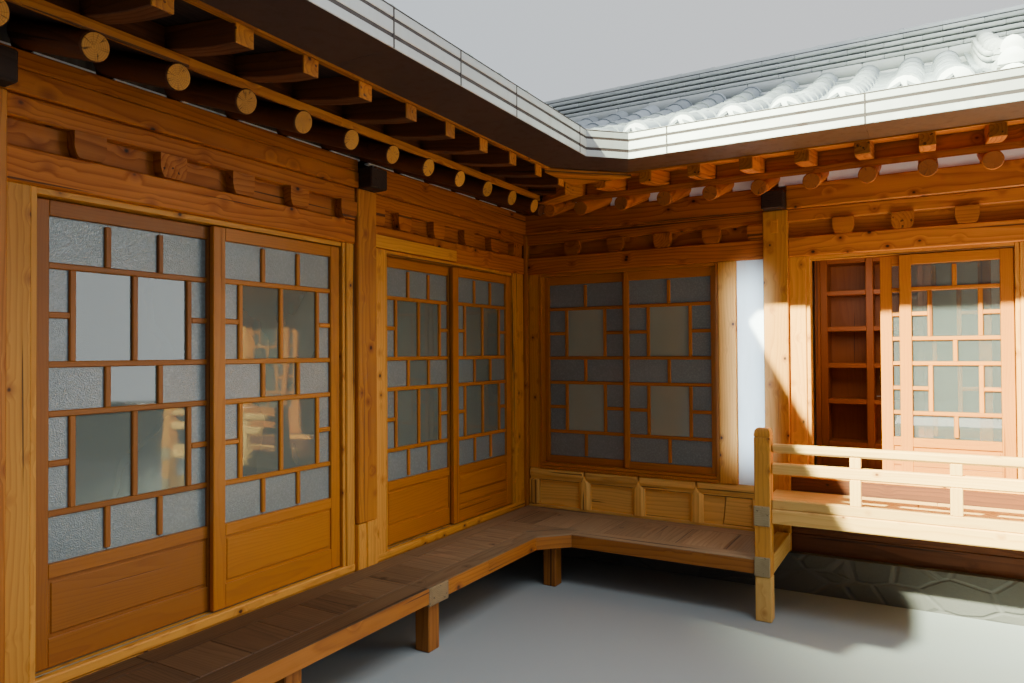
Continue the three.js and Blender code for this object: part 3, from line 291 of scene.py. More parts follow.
def woodMaterial(name, look):
    light, dark, knot, halo, ringWidth, knotGrid, knotSize, contrast, streaks, rough, vary = look
    material = newMaterial(name)
    tree = material.node_tree
    tone = attribute(tree, "tone", "Fac")
    shift = node(tree, "ShaderNodeCombineXYZ", {"X": tone * 57.0})
    place = vectorCalc("ADD", attribute(tree, "grain", "Vector"), shift)
    # heart rings, pulled out of round along the board and swirled round the knots
    bend = noise(stretch(place, (0.55, 3.0, 3.0)), 1.0, 3.0, 0.5)
    ripple = noise(stretch(place, (2.2, 16, 16)), 1.0, 3.0, 0.55)
    knots = node(tree, "ShaderNodeTexVoronoi", {
        "Vector": stretch(place, (0.8, 1.0, 1.0)), "Scale": knotGrid, "Randomness": 1.0}, "Distance")
    toKnot = knots + noise(stretch(place, (30, 60, 60)), 1.0, 2.0) * 0.03
    swirl = (1.0 - toKnot / (knotSize * 3.2)).clamped() * 0.030
    _, y, z = axesOf(place)
    radius = calc("SQRT", y * y + z * z) + bend * 0.16 + ripple * 0.012 + swirl
    ring = steps(calc("FRACT", radius / ringWidth), (0.0, 0.15), (0.55, 0.45), (0.86, 1.0), (0.95, 0.35), (1.0, 0.15))
    fibre = noise(stretch(place, (3.0, 190, 190)), 1.0, 3.0, 0.6)
    streak = steps(noise(stretch(place, (0.7, 22, 22), (3.1, 0, 0)), 1.0, 4.0, 0.6), (0.50, 0.0), (0.72, 1.0))
    cloud = noise(stretch(place, (1.1, 4.0, 4.0), (9.0, 0, 0)), 1.0, 3.0, 0.5)
    amount = (ring * contrast + (fibre - 0.5) * 0.42 + streak * (streaks * 0.6) + (cloud - 0.5) * 0.7).clamped()
    if name == "benchOak":
        near = ((axesOf(ownSpace(material))[1] + cornerPale["from"]) / cornerPale["over"]).clamped()
        light, dark = blend(near, light, cornerPale["light"]), blend(near, dark, cornerPale["dark"])
    colour = blend(amount, light, dark)
    colour = blend(steps(toKnot / (knotSize * 2.4), (0.30, 1.0), (1.0, 0.0)) * 0.75, colour, halo)
    colour = blend(steps(toKnot / knotSize, (0.62, 1.0), (0.95, 0.0)), colour, knot)
    # drying checks run with the grain
    split = steps(noise(stretch(place, (0.45, 34, 34), (1.7, 0, 0)), 1.0, 1.0, 0.4), (0.700, 0.0), (0.715, 1.0))
    colour = shaded(blend(split * 0.8, colour, knot), (1.0 - vary / 2) + tone * vary)
    height = fibre * 0.35 - amount * 0.3 - split * 1.6
    return dress(material, colour, rough + amount * 0.22, (height, 0.4, 0.0025), {"Specular IOR Level": 0.30})


def logEndMaterial(name, light, dark):
    # sawn end: growth rings round the heart and drying cracks that run out from it
    material = newMaterial(name)
    tree = material.node_tree
    place, tone = attribute(tree, "grain", "Vector"), attribute(tree, "tone", "Fac")
    _, y, z = axesOf(place)
    radius = calc("SQRT", y * y + z * z) + noise(place, 30.0, 2.0) * 0.006
    ring = steps(calc("FRACT", radius / 0.0085), (0.0, 0.0), (0.8, 0.7), (1.0, 0.1))
    fan = node(tree, "ShaderNodeCombineXYZ", {"X": calc("ARCTAN2", z, y) * 1.6, "Y": tone * 31.0, "Z": radius * 3.0})
    crack = steps(noise(fan, 1.1, 1.0), (0.480, 0.0), (0.492, 1.0), (0.500, 1.0), (0.512, 0.0))
    crack = crack * steps(radius, (0.006, 0.0), (0.016, 1.0), (0.052, 1.0), (0.060, 0.3))
    colour = blend(crack * 0.75, blend(ring, light, dark), (0.05, 0.017, 0.006))
    colour = shaded(colour, 0.75 + tone * 0.4)
    return dress(material, colour, 0.7, (crack * -1.0, 0.6, 0.004), {"Specular IOR Level": 0.25})


wood = {name: woodMaterial(name, look) for name, look in woods.items()}
wood["logEnd"] = logEndMaterial("logEnd", (0.62, 0.27, 0.045), (0.42, 0.15, 0.022))
# the north sawn ends are a darker copy of the west ones: painted shade
wood["northLogEndPaintedShade"] = logEndMaterial("northLogEndPaintedShade", (0.34, 0.105, 0.014), (0.20, 0.055, 0.008))
print("wood mixed")

# Glass, metal, plaster, stone and tile


def clearGlass(name, dark, light, through):
    material = newMaterial(name)
    place = ownSpace(material)
    haze = noise(stretch(place, (1.3, 1.3, 0.8)), 1.0, 3.0)
    ripple = noise(stretch(place, (2.5, 2.5, 1.6)), 1.0, 2.0)
    return dress(material, blend(haze, dark, light), 0.03, (ripple, 0.06, 0.02),
                 {"IOR": 1.6, "Transmission Weight": through})


def figuredGlass(name):
    material = newMaterial(name)
    place = ownSpace(material)
    pebble = node(place.tree, "ShaderNodeTexVoronoi", {"Vector": place, "Scale": 175.0}, feature="SMOOTH_F1")
    colour = blend(noise(stretch(place, (1.0, 1.0, 1.6)), 1.0, 3.0), (0.130, 0.165, 0.170), (0.30, 0.35, 0.345))
    # pale flecks: painted glints on the pebbled face
    paintedGlint = steps(noise(place, 70.0, 2.0), (0.45, 0.0), (0.75, 1.0))
    colour = blend(paintedGlint * 0.35, colour, (0.42, 0.47, 0.47))
    return dress(material, colour, 0.20, (pebble, 0.6, 0.003), {"IOR": 1.75, "Transmission Weight": 0.2})


def plasterMaterial(name, light, dark):
    material = newMaterial(name)
    place = ownSpace(material)
    wash = noise(stretch(place, (1.4, 1.4, 0.7)), 1.0, 5.0, 0.6)
    stain = steps(noise(stretch(place, (7, 7, 1.1)), 1.0, 4.0, 0.6), (0.48, 0.0), (0.8, 1.0))
    colour = blend(stain * 0.25, blend(wash, light, dark), (0.48, 0.43, 0.36))
    return dress(material, colour, 0.9, (noise(place, 26.0, 6.0, 0.65), 0.25, 0.004))


def stoneMaterial(name):
    material = newMaterial(name)
    place = ownSpace(material)
    blocks, warp = stretch(place, (3.2, 3.2, 6.0)), noise(place, 4.0, 3.0, output="Color")
    warped = node(place.tree, "ShaderNodeMix", {0: 0.10, 4: blocks, 5: warp}, 1, data_type="VECTOR")
    warped = {"Vector": warped, "Scale": 1.0}
    joints = node(place.tree, "ShaderNodeTexVoronoi", warped, feature="DISTANCE_TO_EDGE")
    stones = node(place.tree, "ShaderNodeTexVoronoi", warped, "Color")
    mortar, grit = steps(joints, (0.02, 1.0), (0.07, 0.0)), noise(place, 45.0, 6.0, 0.7)
    tint = node(place.tree, "ShaderNodeSeparateColor", {0: stones})
    # dark stone: its own grey, darkened further as painted shade of the plinth
    colour = blend(tint, (0.095, 0.088, 0.078), (0.062, 0.058, 0.052))
    colour = blend(mortar, blend(grit * 0.4, colour, (0.13, 0.12, 0.107)), (0.11, 0.102, 0.092))
    return dress(material, colour, 0.92, (grit * 0.3 - mortar, 0.8, 0.012))


def tileMaterial(name, light, dark, stain):
    material = newMaterial(name)
    place = ownSpace(material)
    bloom = (noise(place, 3.2, 6.0, 0.62) * 0.7 + attribute(place.tree, "tone", "Fac") * 0.45).clamped()
    lichen = steps(noise(place, 21.0, 5.0, 0.7), (0.56, 0.0), (0.66, 1.0))
    speck = steps(noise(place, 120.0, 2.0), (0.6, 0.0), (0.72, 1.0))
    colour = blend(speck * 0.25, blend(lichen * 0.35, blend(bloom, dark, light), stain), dark)
    return dress(material, colour, 0.78, (noise(place, 60.0, 6.0, 0.7), 0.35, 0.003))


def metalMaterial(name, light, dark, rough, metallic, grime):
    material = newMaterial(name)
    place = ownSpace(material)
    drift = noise(stretch(place, (1.5, 1.5, 9.0)), 1.0, 4.0)
    runs = steps(noise(stretch(place, (13, 13, 2.5)), 1.0, 4.0, 0.6), (0.5, 0.0), (0.8, 1.0))
    dents = noise(stretch(place, (5, 5, 5)), 1.0, 3.0)
    return dress(material, blend(runs * 0.35, blend(drift, dark, light), grime), rough + runs * 0.2,
                 (dents, 0.08, 0.01), {"Metallic": metallic})


glassClear = clearGlass("clearGlass", (0.25, 0.28, 0.23), (0.44, 0.48, 0.40), 0.6)
glassWindow = clearGlass("windowGlass", (0.36, 0.38, 0.29), (0.52, 0.55, 0.43), 0.3)
glassOpen = clearGlass("openGlass", (0.62, 0.68, 0.64), (0.74, 0.80, 0.76), 0.93)
glassFigured = figuredGlass("figuredGlass")
whitePlaster = plasterMaterial("whitePlaster", (0.88, 0.91, 0.96), (0.80, 0.84, 0.90))
limePlaster = plasterMaterial("limePlaster", (0.74, 0.72, 0.67), (0.62, 0.60, 0.55))
# plaster darkened as painted shade, for the west eave
paintedShadePlaster = plasterMaterial("paintedShadePlaster", (0.060, 0.036, 0.024), (0.036, 0.022, 0.015))
mortarGrey = plasterMaterial("ridgeMortar", (0.055, 0.055, 0.055), (0.035, 0.035, 0.035))
mortarWhite = plasterMaterial("tileMortar", (0.86, 0.86, 0.85), (0.66, 0.66, 0.65))
masonry = stoneMaterial("roughMasonry")
roofTile = tileMaterial("roofTile", (0.42, 0.45, 0.48), (0.15, 0.162, 0.178), (0.55, 0.55, 0.50))
ridgeTile = tileMaterial("ridgeTile", (0.60, 0.61, 0.60), (0.32, 0.33, 0.33), (0.46, 0.44, 0.33))
gutterPaint = metalMaterial("gutterPaint", (0.475, 0.470, 0.450), (0.335, 0.330, 0.315), 0.34, 0.35, (0.30, 0.25, 0.20))
# brown groove paint darkened further as painted shade of the recesses; the seals between lengths are really dark
groovePaintAndPaintedShade = metalMaterial("groovePaintAndPaintedShade", (0.030, 0.013, 0.009), (0.020, 0.009, 0.006), 0.7, 0.0, (0.03, 0.013, 0.009))
# the north soffit is a lighter, browner copy of the soffit paint: painted light
northSoffitPaintedLight = metalMaterial(
    "northSoffitPaintedLight", (0.120, 0.046, 0.016), (0.080, 0.030, 0.011), 0.55, 0.0, (0.07, 0.03, 0.015))
soffitPaint = metalMaterial(
    "soffitPaint", (0.060, 0.026, 0.018), (0.034, 0.015, 0.010), 0.55, 0.0, (0.085, 0.045, 0.03))
trackMetal = metalMaterial("trackMetal", (0.30, 0.32, 0.22), (0.20, 0.21, 0.15), 0.35, 0.8, (0.12, 0.10, 0.06))
leverMetal = metalMaterial("leverMetal", (0.55, 0.52, 0.45), (0.35, 0.33, 0.28), 0.3, 0.9, (0.2, 0.17, 0.12))
print("glass, metal, plaster, stone and tile mixed")

# boards, logs and bars. A place is (s, d, z): s runs along the wing from the inner corner,
# d runs back from its courtyard face, and z is up.

dice = random.Random(7)


def place(wing, s, d, z):
    return (-d, -s, z) if wing == "west" else (s, d, z)


def newStack():
    return {"points": [], "faces": [], "grain": [], "tone": []}


def addSolid(stack, points, faces, along, tone=None, heart=None):
    # one closed form with its own grain, turned so that its faces point outwards
    points = [Vector(p) for p in points]
    volume = 0.0
    for face in faces:
        for k in range(1, len(face) - 1):
            volume += points[face[0]].dot(points[face[k]].cross(points[face[k + 1]]))
    middle = sum(points, Vector()) / len(points)
    along = Vector(along).normalized()
    side = along.orthogonal().normalized()
    other = along.cross(side)
    spread = max((p - middle).dot(side) for p in points), max((p - middle).dot(other) for p in points)
    if heart is None:
        reach = max(spread) * 1.3 + 0.05
        angle = dice.uniform(0, 2 * math.pi)
        heart = (reach * math.cos(angle), reach * math.sin(angle))
    slide = dice.uniform(0, 40)
    tone = dice.random() if tone is None else tone
    base = len(stack["points"])
    for p in points:
        offset = p - middle
        stack["points"].append(tuple(p))
        stack["grain"].append((
            offset.dot(along) + slide, offset.dot(side) + heart[0], offset.dot(other) + heart[1]))
        stack["tone"].append(tone)
    for face in faces:
        loop = [base + i for i in face]
        stack["faces"].append(loop if volume > 0 else loop[::-1])


def blockFaces():
    corners = [(x, y, z) for x in (-1, 1) for y in (-1, 1) for z in (-1, 1)]
    first = {corner: index * 3 for index, corner in enumerate(corners)}
    faces = []
    for k in range(3):
        i, j = [axis for axis in range(3) if axis != k]
        for side in (-1, 1):
            loop = []
            for a, b in ((-1, -1), (1, -1), (1, 1), (-1, 1)):
                corner = [0, 0, 0]
                corner[k], corner[i], corner[j] = side, a, b
                loop.append(first[tuple(corner)] + k)
            faces.append(loop)
        for a in (-1, 1):
            for b in (-1, 1):
                low, high = [0, 0, 0], [0, 0, 0]
                low[i] = high[i] = a
                low[j] = high[j] = b
                low[k], high[k] = -1, 1
                low, high = first[tuple(low)], first[tuple(high)]
                faces.append([low + i, low + j, high + j, high + i])
    faces += [[index, index + 1, index + 2] for index in first.values()]
    spots = [Vector([c * (1 if axis == k else 0.8) for axis, c in enumerate(corner)])
             for corner in corners for k in range(3)]
    ordered = []
    for face in faces:
        centre = sum((spots[i] for i in face), Vector()) / len(face)
        normal = (spots[face[1]] - spots[face[0]]).cross(spots[face[2]] - spots[face[1]])
        ordered.append(face if normal.dot(centre) > 0 else face[::-1])
    return corners, ordered


blockCorners, blockLoops = blockFaces()


def board(stack, wing, s0, s1, d0, d1, z0, z1, tone=None, bevel=0.003, grain=None, heart=None):
    low = (min(s0, s1), min(d0, d1), min(z0, z1))
    high = (max(s0, s1), max(d0, d1), max(z0, z1))
    half = [(b - a) / 2 for a, b in zip(low, high)]
    middle = [(b + a) / 2 for a, b in zip(low, high)]
    edge = min(bevel, min(half) * 0.45)
    if grain is None:
        grain = half.index(max(half))
    along = [0, 0, 0]
    along[grain] = 1
    points = []
    for corner in blockCorners:
        for k in range(3):
            points.append(place(wing, *[
                m + c * (h - (0 if axis == k else edge))
                for axis, (m, c, h) in enumerate(zip(middle, corner, half))]))
    addSolid(stack, points, blockLoops, place(wing, *along), tone, heart)


def tubeFaces(n, bands):
    # faces of a closed form through rings of n points
    faces = [list(range(n)), [bands * n + k for k in range(n)][::-1]]
    return faces + [[r * n + k, (r + 1) * n + k, (r + 1) * n + (k + 1) % n, r * n + (k + 1) % n]
                    for r in range(bands) for k in range(n)]


def loft(stack, loops, along, tone=None, heart=None):
    # a closed form through loops of as many points each, with flat ends
    addSolid(stack, [p for loop in loops for p in loop], tubeFaces(len(loops[0]), len(loops) - 1), along, tone, heart)


def profileBeam(stack, wing, section, s0, s1, margin):
    # a section of (d, z) points, run to s1 from s0 or, if that comes later, from the diagonal of the corner
    loops = [[place(wing, max(s0, margin - d), d, z) for d, z in section], [place(wing, s1, d, z) for d, z in section]]
    loft(stack, loops, place(wing, 1, 0, 0))


def log(stack, start, end, radius, sides=18, chamfer=0.006, heart=(0.012, 0.006)):
    start, end = Vector(start), Vector(end)
    along = (end - start).normalized()
    side = along.orthogonal().normalized()
    other = along.cross(side)
    length = (end - start).length
    loops = []
    for far, size in ((0, radius - chamfer), (chamfer, radius), (length - chamfer, radius), (length, radius - chamfer)):
        angles = [2 * math.pi * k / sides for k in range(sides)]
        loops.append([start + along * far + side * math.cos(a) * size + other * math.sin(a) * size for a in angles])
    loft(stack, loops, along, None, heart)


def meshFrom(name, stack):
    mesh = bpy.data.meshes.new(name)
    mesh.from_pydata(stack["points"], [], stack["faces"])
    grain = mesh.attributes.new("grain", "FLOAT_VECTOR", "POINT")
    grain.data.foreach_set("vector", np.array(stack["grain"], np.float32).ravel())
    tone = mesh.attributes.new("tone", "FLOAT", "POINT")
    tone.data.foreach_set("value", np.array(stack["tone"], np.float32))
    mesh.polygons.foreach_set("use_smooth", [True] * len(mesh.polygons))
    mesh.update()
    mesh.set_sharp_from_angle(angle=math.radians(32))
    return mesh


def finishPiece(name, mesh, material, replaced=(), body="house"):
    piece = bpy.data.objects.new(name, mesh)
    bpy.context.scene.collection.objects.link(piece)
    if material is not None:
        mesh.materials.clear()
        mesh.materials.append(material)
    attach(piece, body)
    if replaced:
        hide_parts(*([replaced] if isinstance(replaced, str) else replaced))
    return piece


def housePiece(name, stack, finish, replaced=(), body="house"):
    # finish names one of the woods, or is a material
    return finishPiece(name, meshFrom(name, stack), wood.get(finish, finish), replaced, body)


def paint(name, material):
    mesh = nodes[name].data
    mesh.materials.clear()
    mesh.materials.append(material)


# Columns of the courtyard side

columnSpots = {
    # wing, centre along the wing, wood
    "column_south": ("west", 4.615, "honeyPine"),
    "column_corner": ("north", -0.095, "honeyPine"),
    "column_north": ("north", 2.295, "paleStud"),
    "column_east": ("north", 4.070, "paleStud"),
}
column = {"half": 0.095, "foot": 0.300, "head": 3.030, "bevel": 0.006, "west": 2.265, "scarf": 0.735,
          "patch": (2.262, 2.318, -0.003, 0.02, 2.845, 2.955)}


def addColumns():
    half, low, high, bevel = column["half"], column["foot"], column["head"], column["bevel"]
    for name, (wing, s, kind) in columnSpots.items():
        stack = newStack()
        board(stack, wing, s - half, s + half, 0, 2 * half, low, high, bevel=bevel)
        housePiece(name + "_timber", stack, kind, name)
    # the middle column of the west wing has a scarfed foot in two newer pieces
    stack = newStack()
    s, joint = column["west"], column["scarf"]
    board(stack, "west", s - half, s + half, 0, 2 * half, joint + 0.0015, high, tone=0.35, bevel=bevel)
    housePiece("column_west_timber", stack, "honeyPine", "column_west")
    foot = newStack()
    split = s + 0.012
    board(foot, "west", s - half - 0.002, split - 0.002, -0.002, 2 * half, low, joint, tone=0.7, bevel=0.005)
    board(foot, "west", split + 0.001, s + half + 0.001, 0.001, 2 * half, low, joint - 0.004, tone=0.9, bevel=0.006)
    housePiece("column_west_foot", foot, "paleStud")
    # a patch let into the head of the north column
    patch = newStack()
    board(patch, "north", *column["patch"], tone=0.6, bevel=0.004)
    housePiece("column_north_patch", patch, "paleStud")


addColumns()

# Frieze over each bay: lintel, board with bearing blocks, bearer and purlin

frieze = {
    "lintel": (0.025, 0.150, 2.650, 2.808),
    "board": (0.070, 0.120, 2.808, 2.932),
    "bearer": (0.025, 0.150, 2.932, 3.030),
    "purlin": (0.000, 0.190, 3.030, 3.222),
    "crack": 3.141,
    "blockWidth": 0.150,
    "blockFoot": 0.106,
    "blockFace": 0.006,
    "splice": (1.16, 2.168, 0.012, 0.024, 2.652, 2.742),
}
friezeBays = {
    # wing, from, to, purlin from and to, block centres, wood, purlin in two, lintel joints
    "frieze_west_south": (
        "west", 2.360, 4.520, 2.3503, 5.130, (4.166, 3.739, 3.299, 2.877, 2.440), "friezePine", True, ()),
    "frieze_west_north": (
        "west", 0.000, 2.170, 0.0003, 2.1797, (2.146, 1.842, 1.412, 0.980, 0.558, 0.15), "friezePine", False, (1.15,)),
    "frieze_north_west": (
        "north", 0.0003, 2.200, -0.190, 2.2097, (0.480, 0.910, 1.350, 1.780, 2.150), "friezePine", False, ()),
    "frieze_north_east": ("north", 2.390, 3.975, 2.3803, 4.585, (2.796, 3.200, 3.608), "honeyPine", False, ()),
}


def bearingBlock(stack, wing, s, s0, s1):
    # splayed foot, plain head
    wide, foot = frieze["blockWidth"] / 2, frieze["blockFoot"] / 2
    z0, z1 = frieze["lintel"][3] + 0.001, frieze["bearer"][2] - 0.001
    waist = z0 + 0.052
    outline = [(-foot, z0), (foot, z0), (foot + 0.012, z0 + 0.016), (wide - 0.003, waist - 0.012), (wide, waist),
               (wide, z1), (-wide, z1), (-wide, waist), (-wide + 0.003, waist - 0.012), (-foot - 0.012, z0 + 0.016)]
    outline = [(min(max(s + a, s0), s1), z) for a, z in outline]
    loops = [[place(wing, a, d, z) for a, z in outline] for d in (frieze["blockFace"], frieze["board"][1])]
    loft(stack, loops, place(wing, 0, 1, 0) if dice.random() < 0.3 else place(wing, 1, 0, 0))


def addFriezes():
    for name, (wing, s0, s1, p0, p1, blocks, kind, cracked, joints) in friezeBays.items():
        stack = newStack()
        cuts = [s0, *joints, s1]
        for a, b in zip(cuts, cuts[1:]):
            board(stack, wing, a + 0.0005, b - 0.0005, *frieze["lintel"], bevel=0.007, tone=0.95 if a == s0 else 0.55)
        board(stack, wing, s0, s1, *frieze["board"], bevel=0.001, tone=0.25)
        board(stack, wing, s0, s1, *frieze["bearer"], bevel=0.006, tone=0.55)
        d0, d1, z0, z1 = frieze["purlin"]
        if cracked:
            board(stack, wing, p0, p1, d0, d1, z0 + 0.002, frieze["crack"] - 0.003, bevel=0.005, tone=0.45)
            board(stack, wing, p0, p1, d0 + 0.003, d1, frieze["crack"], z1, bevel=0.006, tone=0.35)
        else:
            board(stack, wing, p0, p1, d0, d1, z0 + 0.002, z1, bevel=0.008, tone=0.4)
        for s in blocks:
            bearingBlock(stack, wing, s, s0 + 0.001, s1 - 0.001)
        housePiece(name + "_timber", stack, kind, name)
    # the lighter board spliced along the foot of the lintel beside the middle column
    splice = newStack()
    board(splice, "west", *frieze["splice"], tone=0.85, bevel=0.006)
    housePiece("lintel_splice", splice, "paleStud")


addFriezes()

# Cross beams with dark heads

crossBeams = {"cross_beam_west": ("west", 2.265), "cross_beam_north": ("north", 2.295)}
crossBeam = {"half": 0.085, "head": -0.110, "back": 2.555, "levels": (3.0305, 3.172), "southHead": (4.530, 4.700),
             "kingPost": (1.235, 1.355, 3.171, 3.4995), "postHalf": 0.06}


def addCrossBeams():
    c = crossBeam
    for name, (wing, s) in crossBeams.items():
        stack = newStack()
        half, wide = c["half"], c["postHalf"]
        board(stack, wing, s - half, s + half, c["head"], c["back"], *c["levels"], bevel=0.008, tone=0.4)
        board(stack, wing, s - wide, s + wide, *c["kingPost"], bevel=0.005)
        housePiece(name + "_timber", stack, "darkBeam", name)
    head = newStack()
    board(head, "west", *c["southHead"], c["head"], -0.0005, *c["levels"], bevel=0.008, tone=0.4)
    housePiece("south_beam_head", head, "darkBeam")


addCrossBeams()
print("columns, friezes and beams cut")

# Frames of the doorways, with a metal rail let into each track

doorways = {
    # wing, outer edges of the studs, opening, sill top
    "door_frame_west_south": ("west", 2.360, 4.520, 2.467, 4.380, 0.470),
    "door_frame_west_north": ("west", 0.0003, 2.170, 0.190, 2.008, 0.470),
    "door_frame_deck": ("north", 2.390, 3.975, 2.548, 3.886, 0.940),
}
doorway = {"foot": 0.300, "head": 2.620, "top": 2.6497, "stud": (0.045, 0.165), "track": (0.055, 0.155), "jamb": 0.027,
           "proud": 0.012, "sill": 0.052, "lip": (0.030, 0.060), "board": 0.150, "boardFace": 0.036, "rail": 0.003}
leaf = {"outerTrack": 0.084, "innerTrack": 0.130, "half": 0.018, "stile": 0.080, "top": 2.614, "rail": 0.132,
        "lockRail": 0.066, "field": 0.012, "shoe": (0.06, 0.08, 0.006), "lift": 0.006,
        "sashStile": 0.046, "sash": (0.8453, 2.6197)}


def addDoorways():
    w = doorway
    (near, far), top, jamb = w["stud"], w["top"], w["jamb"]
    face = near - w["proud"]
    for name, (wing, outer0, outer1, s0, s1, sill) in doorways.items():
        stack, below, rail = newStack(), newStack(), newStack()
        for a, b, front, bevel in ((outer0, s0 - jamb - 0.001, face, 0.006), (s0 - jamb, s0, near, 0.003),
                                   (s1, s1 + jamb, near, 0.003), (s1 + jamb + 0.001, outer1, face, 0.006)):
            board(stack, wing, a, b, front, far, sill - 0.03, top, bevel=bevel)
        board(stack, wing, s0, s1, *w["track"], w["head"], top, bevel=0.002, tone=0.3)
        # sill: a front lip, the floor of the tracks, and boards below
        low, lip = sill - w["sill"], w["lip"]
        board(stack, wing, outer0, outer1, *lip, low, sill, bevel=0.006, tone=0.8)
        board(stack, wing, outer0, outer1, lip[1], far, low, sill - 0.004, bevel=0.001, tone=0.5)
        rows = max(1, round((low - w["foot"]) / w["board"]))
        levels = [w["foot"] + (low - w["foot"]) * k / rows for k in range(rows + 1)]
        for z0, z1 in zip(levels, levels[1:]):
            board(below, wing, outer0, outer1, w["boardFace"], far, z0 + 0.001, z1 - 0.001, bevel=0.004)
        housePiece(name + "_timber", stack, "paleStud", name)
        # under the deck the base boards are darkened as painted shade
        housePiece(name + "_base", below, "paintedShadeTimber" if wing == "north" else "paleStud")
        for depth in (leaf["outerTrack"], leaf["innerTrack"]):
            board(rail, wing, s0, s1, depth - w["rail"], depth + w["rail"], sill - 0.004, sill + 0.0002, bevel=0.001)
        housePiece(name + "_rails", rail, trackMetal)


addDoorways()

# Sliding leaves and window sashes. Rows of lights run from the top; the tall lights stand
# between two narrow columns that a short bar halves.

leafStyles = {
    "wing": {"top": 2.541, "bottom": 0.943, "rows": 7, "tall": 2, "narrow": 0.110},
    "deck": {"top": 2.539, "bottom": 1.242, "rows": 7, "tall": 1, "narrow": 0.118},
    "window": {"top": 2.541, "bottom": 0.909, "rows": 7, "tall": 1, "narrow": 0.180},
}
leafBars = {"width": 0.030, "depth": 0.022, "bevel": 0.0045, "lap": 0.002, "glass": 0.005, "glassBack": 0.007,
            "clearance": 0.001}
leaves = {
    # wing, style, edges along the wing, track, sill
    "door_1": ("west", "wing", 3.378, 4.374, "innerTrack", 0.470),
    "door_2": ("west", "wing", 2.473, 3.457, "outerTrack", 0.470),
    "door_3": ("west", "wing", 1.060, 2.002, "innerTrack", 0.470),
    "door_4": ("west", "wing", 0.196, 1.138, "outerTrack", 0.470),
    "deck_door_1": ("north", "deck", 3.039, 3.750, "innerTrack", 0.940),
    "deck_door_2": ("north", "deck", 3.169, 3.880, "outerTrack", 0.940),
    "window_sash_left": ("north", "window", 0.1413, 0.985, "innerTrack", 0.845),
    "window_sash_right": ("north", "window", 0.969, 1.7997, "outerTrack", 0.845),
}


def lightGrid(style, a, b):
    # heights of the rows, even cuts across them, and the cuts between the tall lights
    pitch = (style["top"] - style["bottom"]) / style["rows"]
    levels = [style["top"] - row * pitch for row in range(style["rows"] + 1)]
    count = style["tall"] + 1
    left, right = a + style["narrow"], b - style["narrow"]
    tall = [left, (left + right) / 2, right] if style["tall"] == 2 else [left, right]
    return levels, [a + (b - a) * k / count for k in range(count + 1)], tall


def latticeBoards(stack, wing, style, a, b, depth):
    half, near, far = leafBars["width"] / 2, depth - leafBars["depth"] / 2, depth + leafBars["depth"] / 2
    lap, bevel = leafBars["lap"], leafBars["bevel"]
    levels, cuts, tall = lightGrid(style, a, b)
    left, right = tall[0], tall[-1]

    def across(row, s0, s1):
        board(stack, wing, s0 - lap, s1 + lap, near, far, levels[row] - half, levels[row] + half, bevel=bevel)

    def uprights(spots, top, bottom):
        low, high = levels[bottom] + half - lap, levels[top] - half + lap
        for s in spots:
            board(stack, wing, s - half, s + half, near, far, low, high, bevel=bevel)

    for row in (1, 3, 4, 6):
        across(row, a, b)
    for top, bottom in ((0, 1), (3, 4), (6, 7)):
        uprights(cuts[1:-1], top, bottom)
    for top, bottom in ((1, 3), (4, 6)):
        uprights([left, right] + tall[1:-1], top, bottom)
        across(top + 1, a, left - half)
        across(top + 1, right + half, b)


def glassLights(clear, figured, wing, style, a, b, depth):
    # each light is its own pane, clear in the tall lights and the middle one, figured elsewhere
    near, edge = depth + leafBars["depth"] / 2 - leafBars["glassBack"], leafBars["clearance"]
    levels, cuts, tall = lightGrid(style, a, b)

    def pane(stack, s0, s1, top, bottom):
        low, high = levels[bottom] + edge, levels[top] - edge
        board(stack, wing, s0 + edge, s1 - edge, near, near + leafBars["glass"], low, high, bevel=0.0004)

    for top, bottom in ((0, 1), (3, 4), (6, 7)):
        for k, (s0, s1) in enumerate(zip(cuts, cuts[1:])):
            pane(clear if top == 3 and len(cuts) == 4 and k == 1 else figured, s0, s1, top, bottom)
    for top, bottom in ((1, 3), (4, 6)):
        for s0, s1 in ((a, tall[0]), (tall[-1], b)):
            for row in (top, top + 1):
                pane(figured, s0, s1, row, row + 1)
        for s0, s1 in zip(tall, tall[1:]):
            pane(clear, s0, s1, top, bottom)


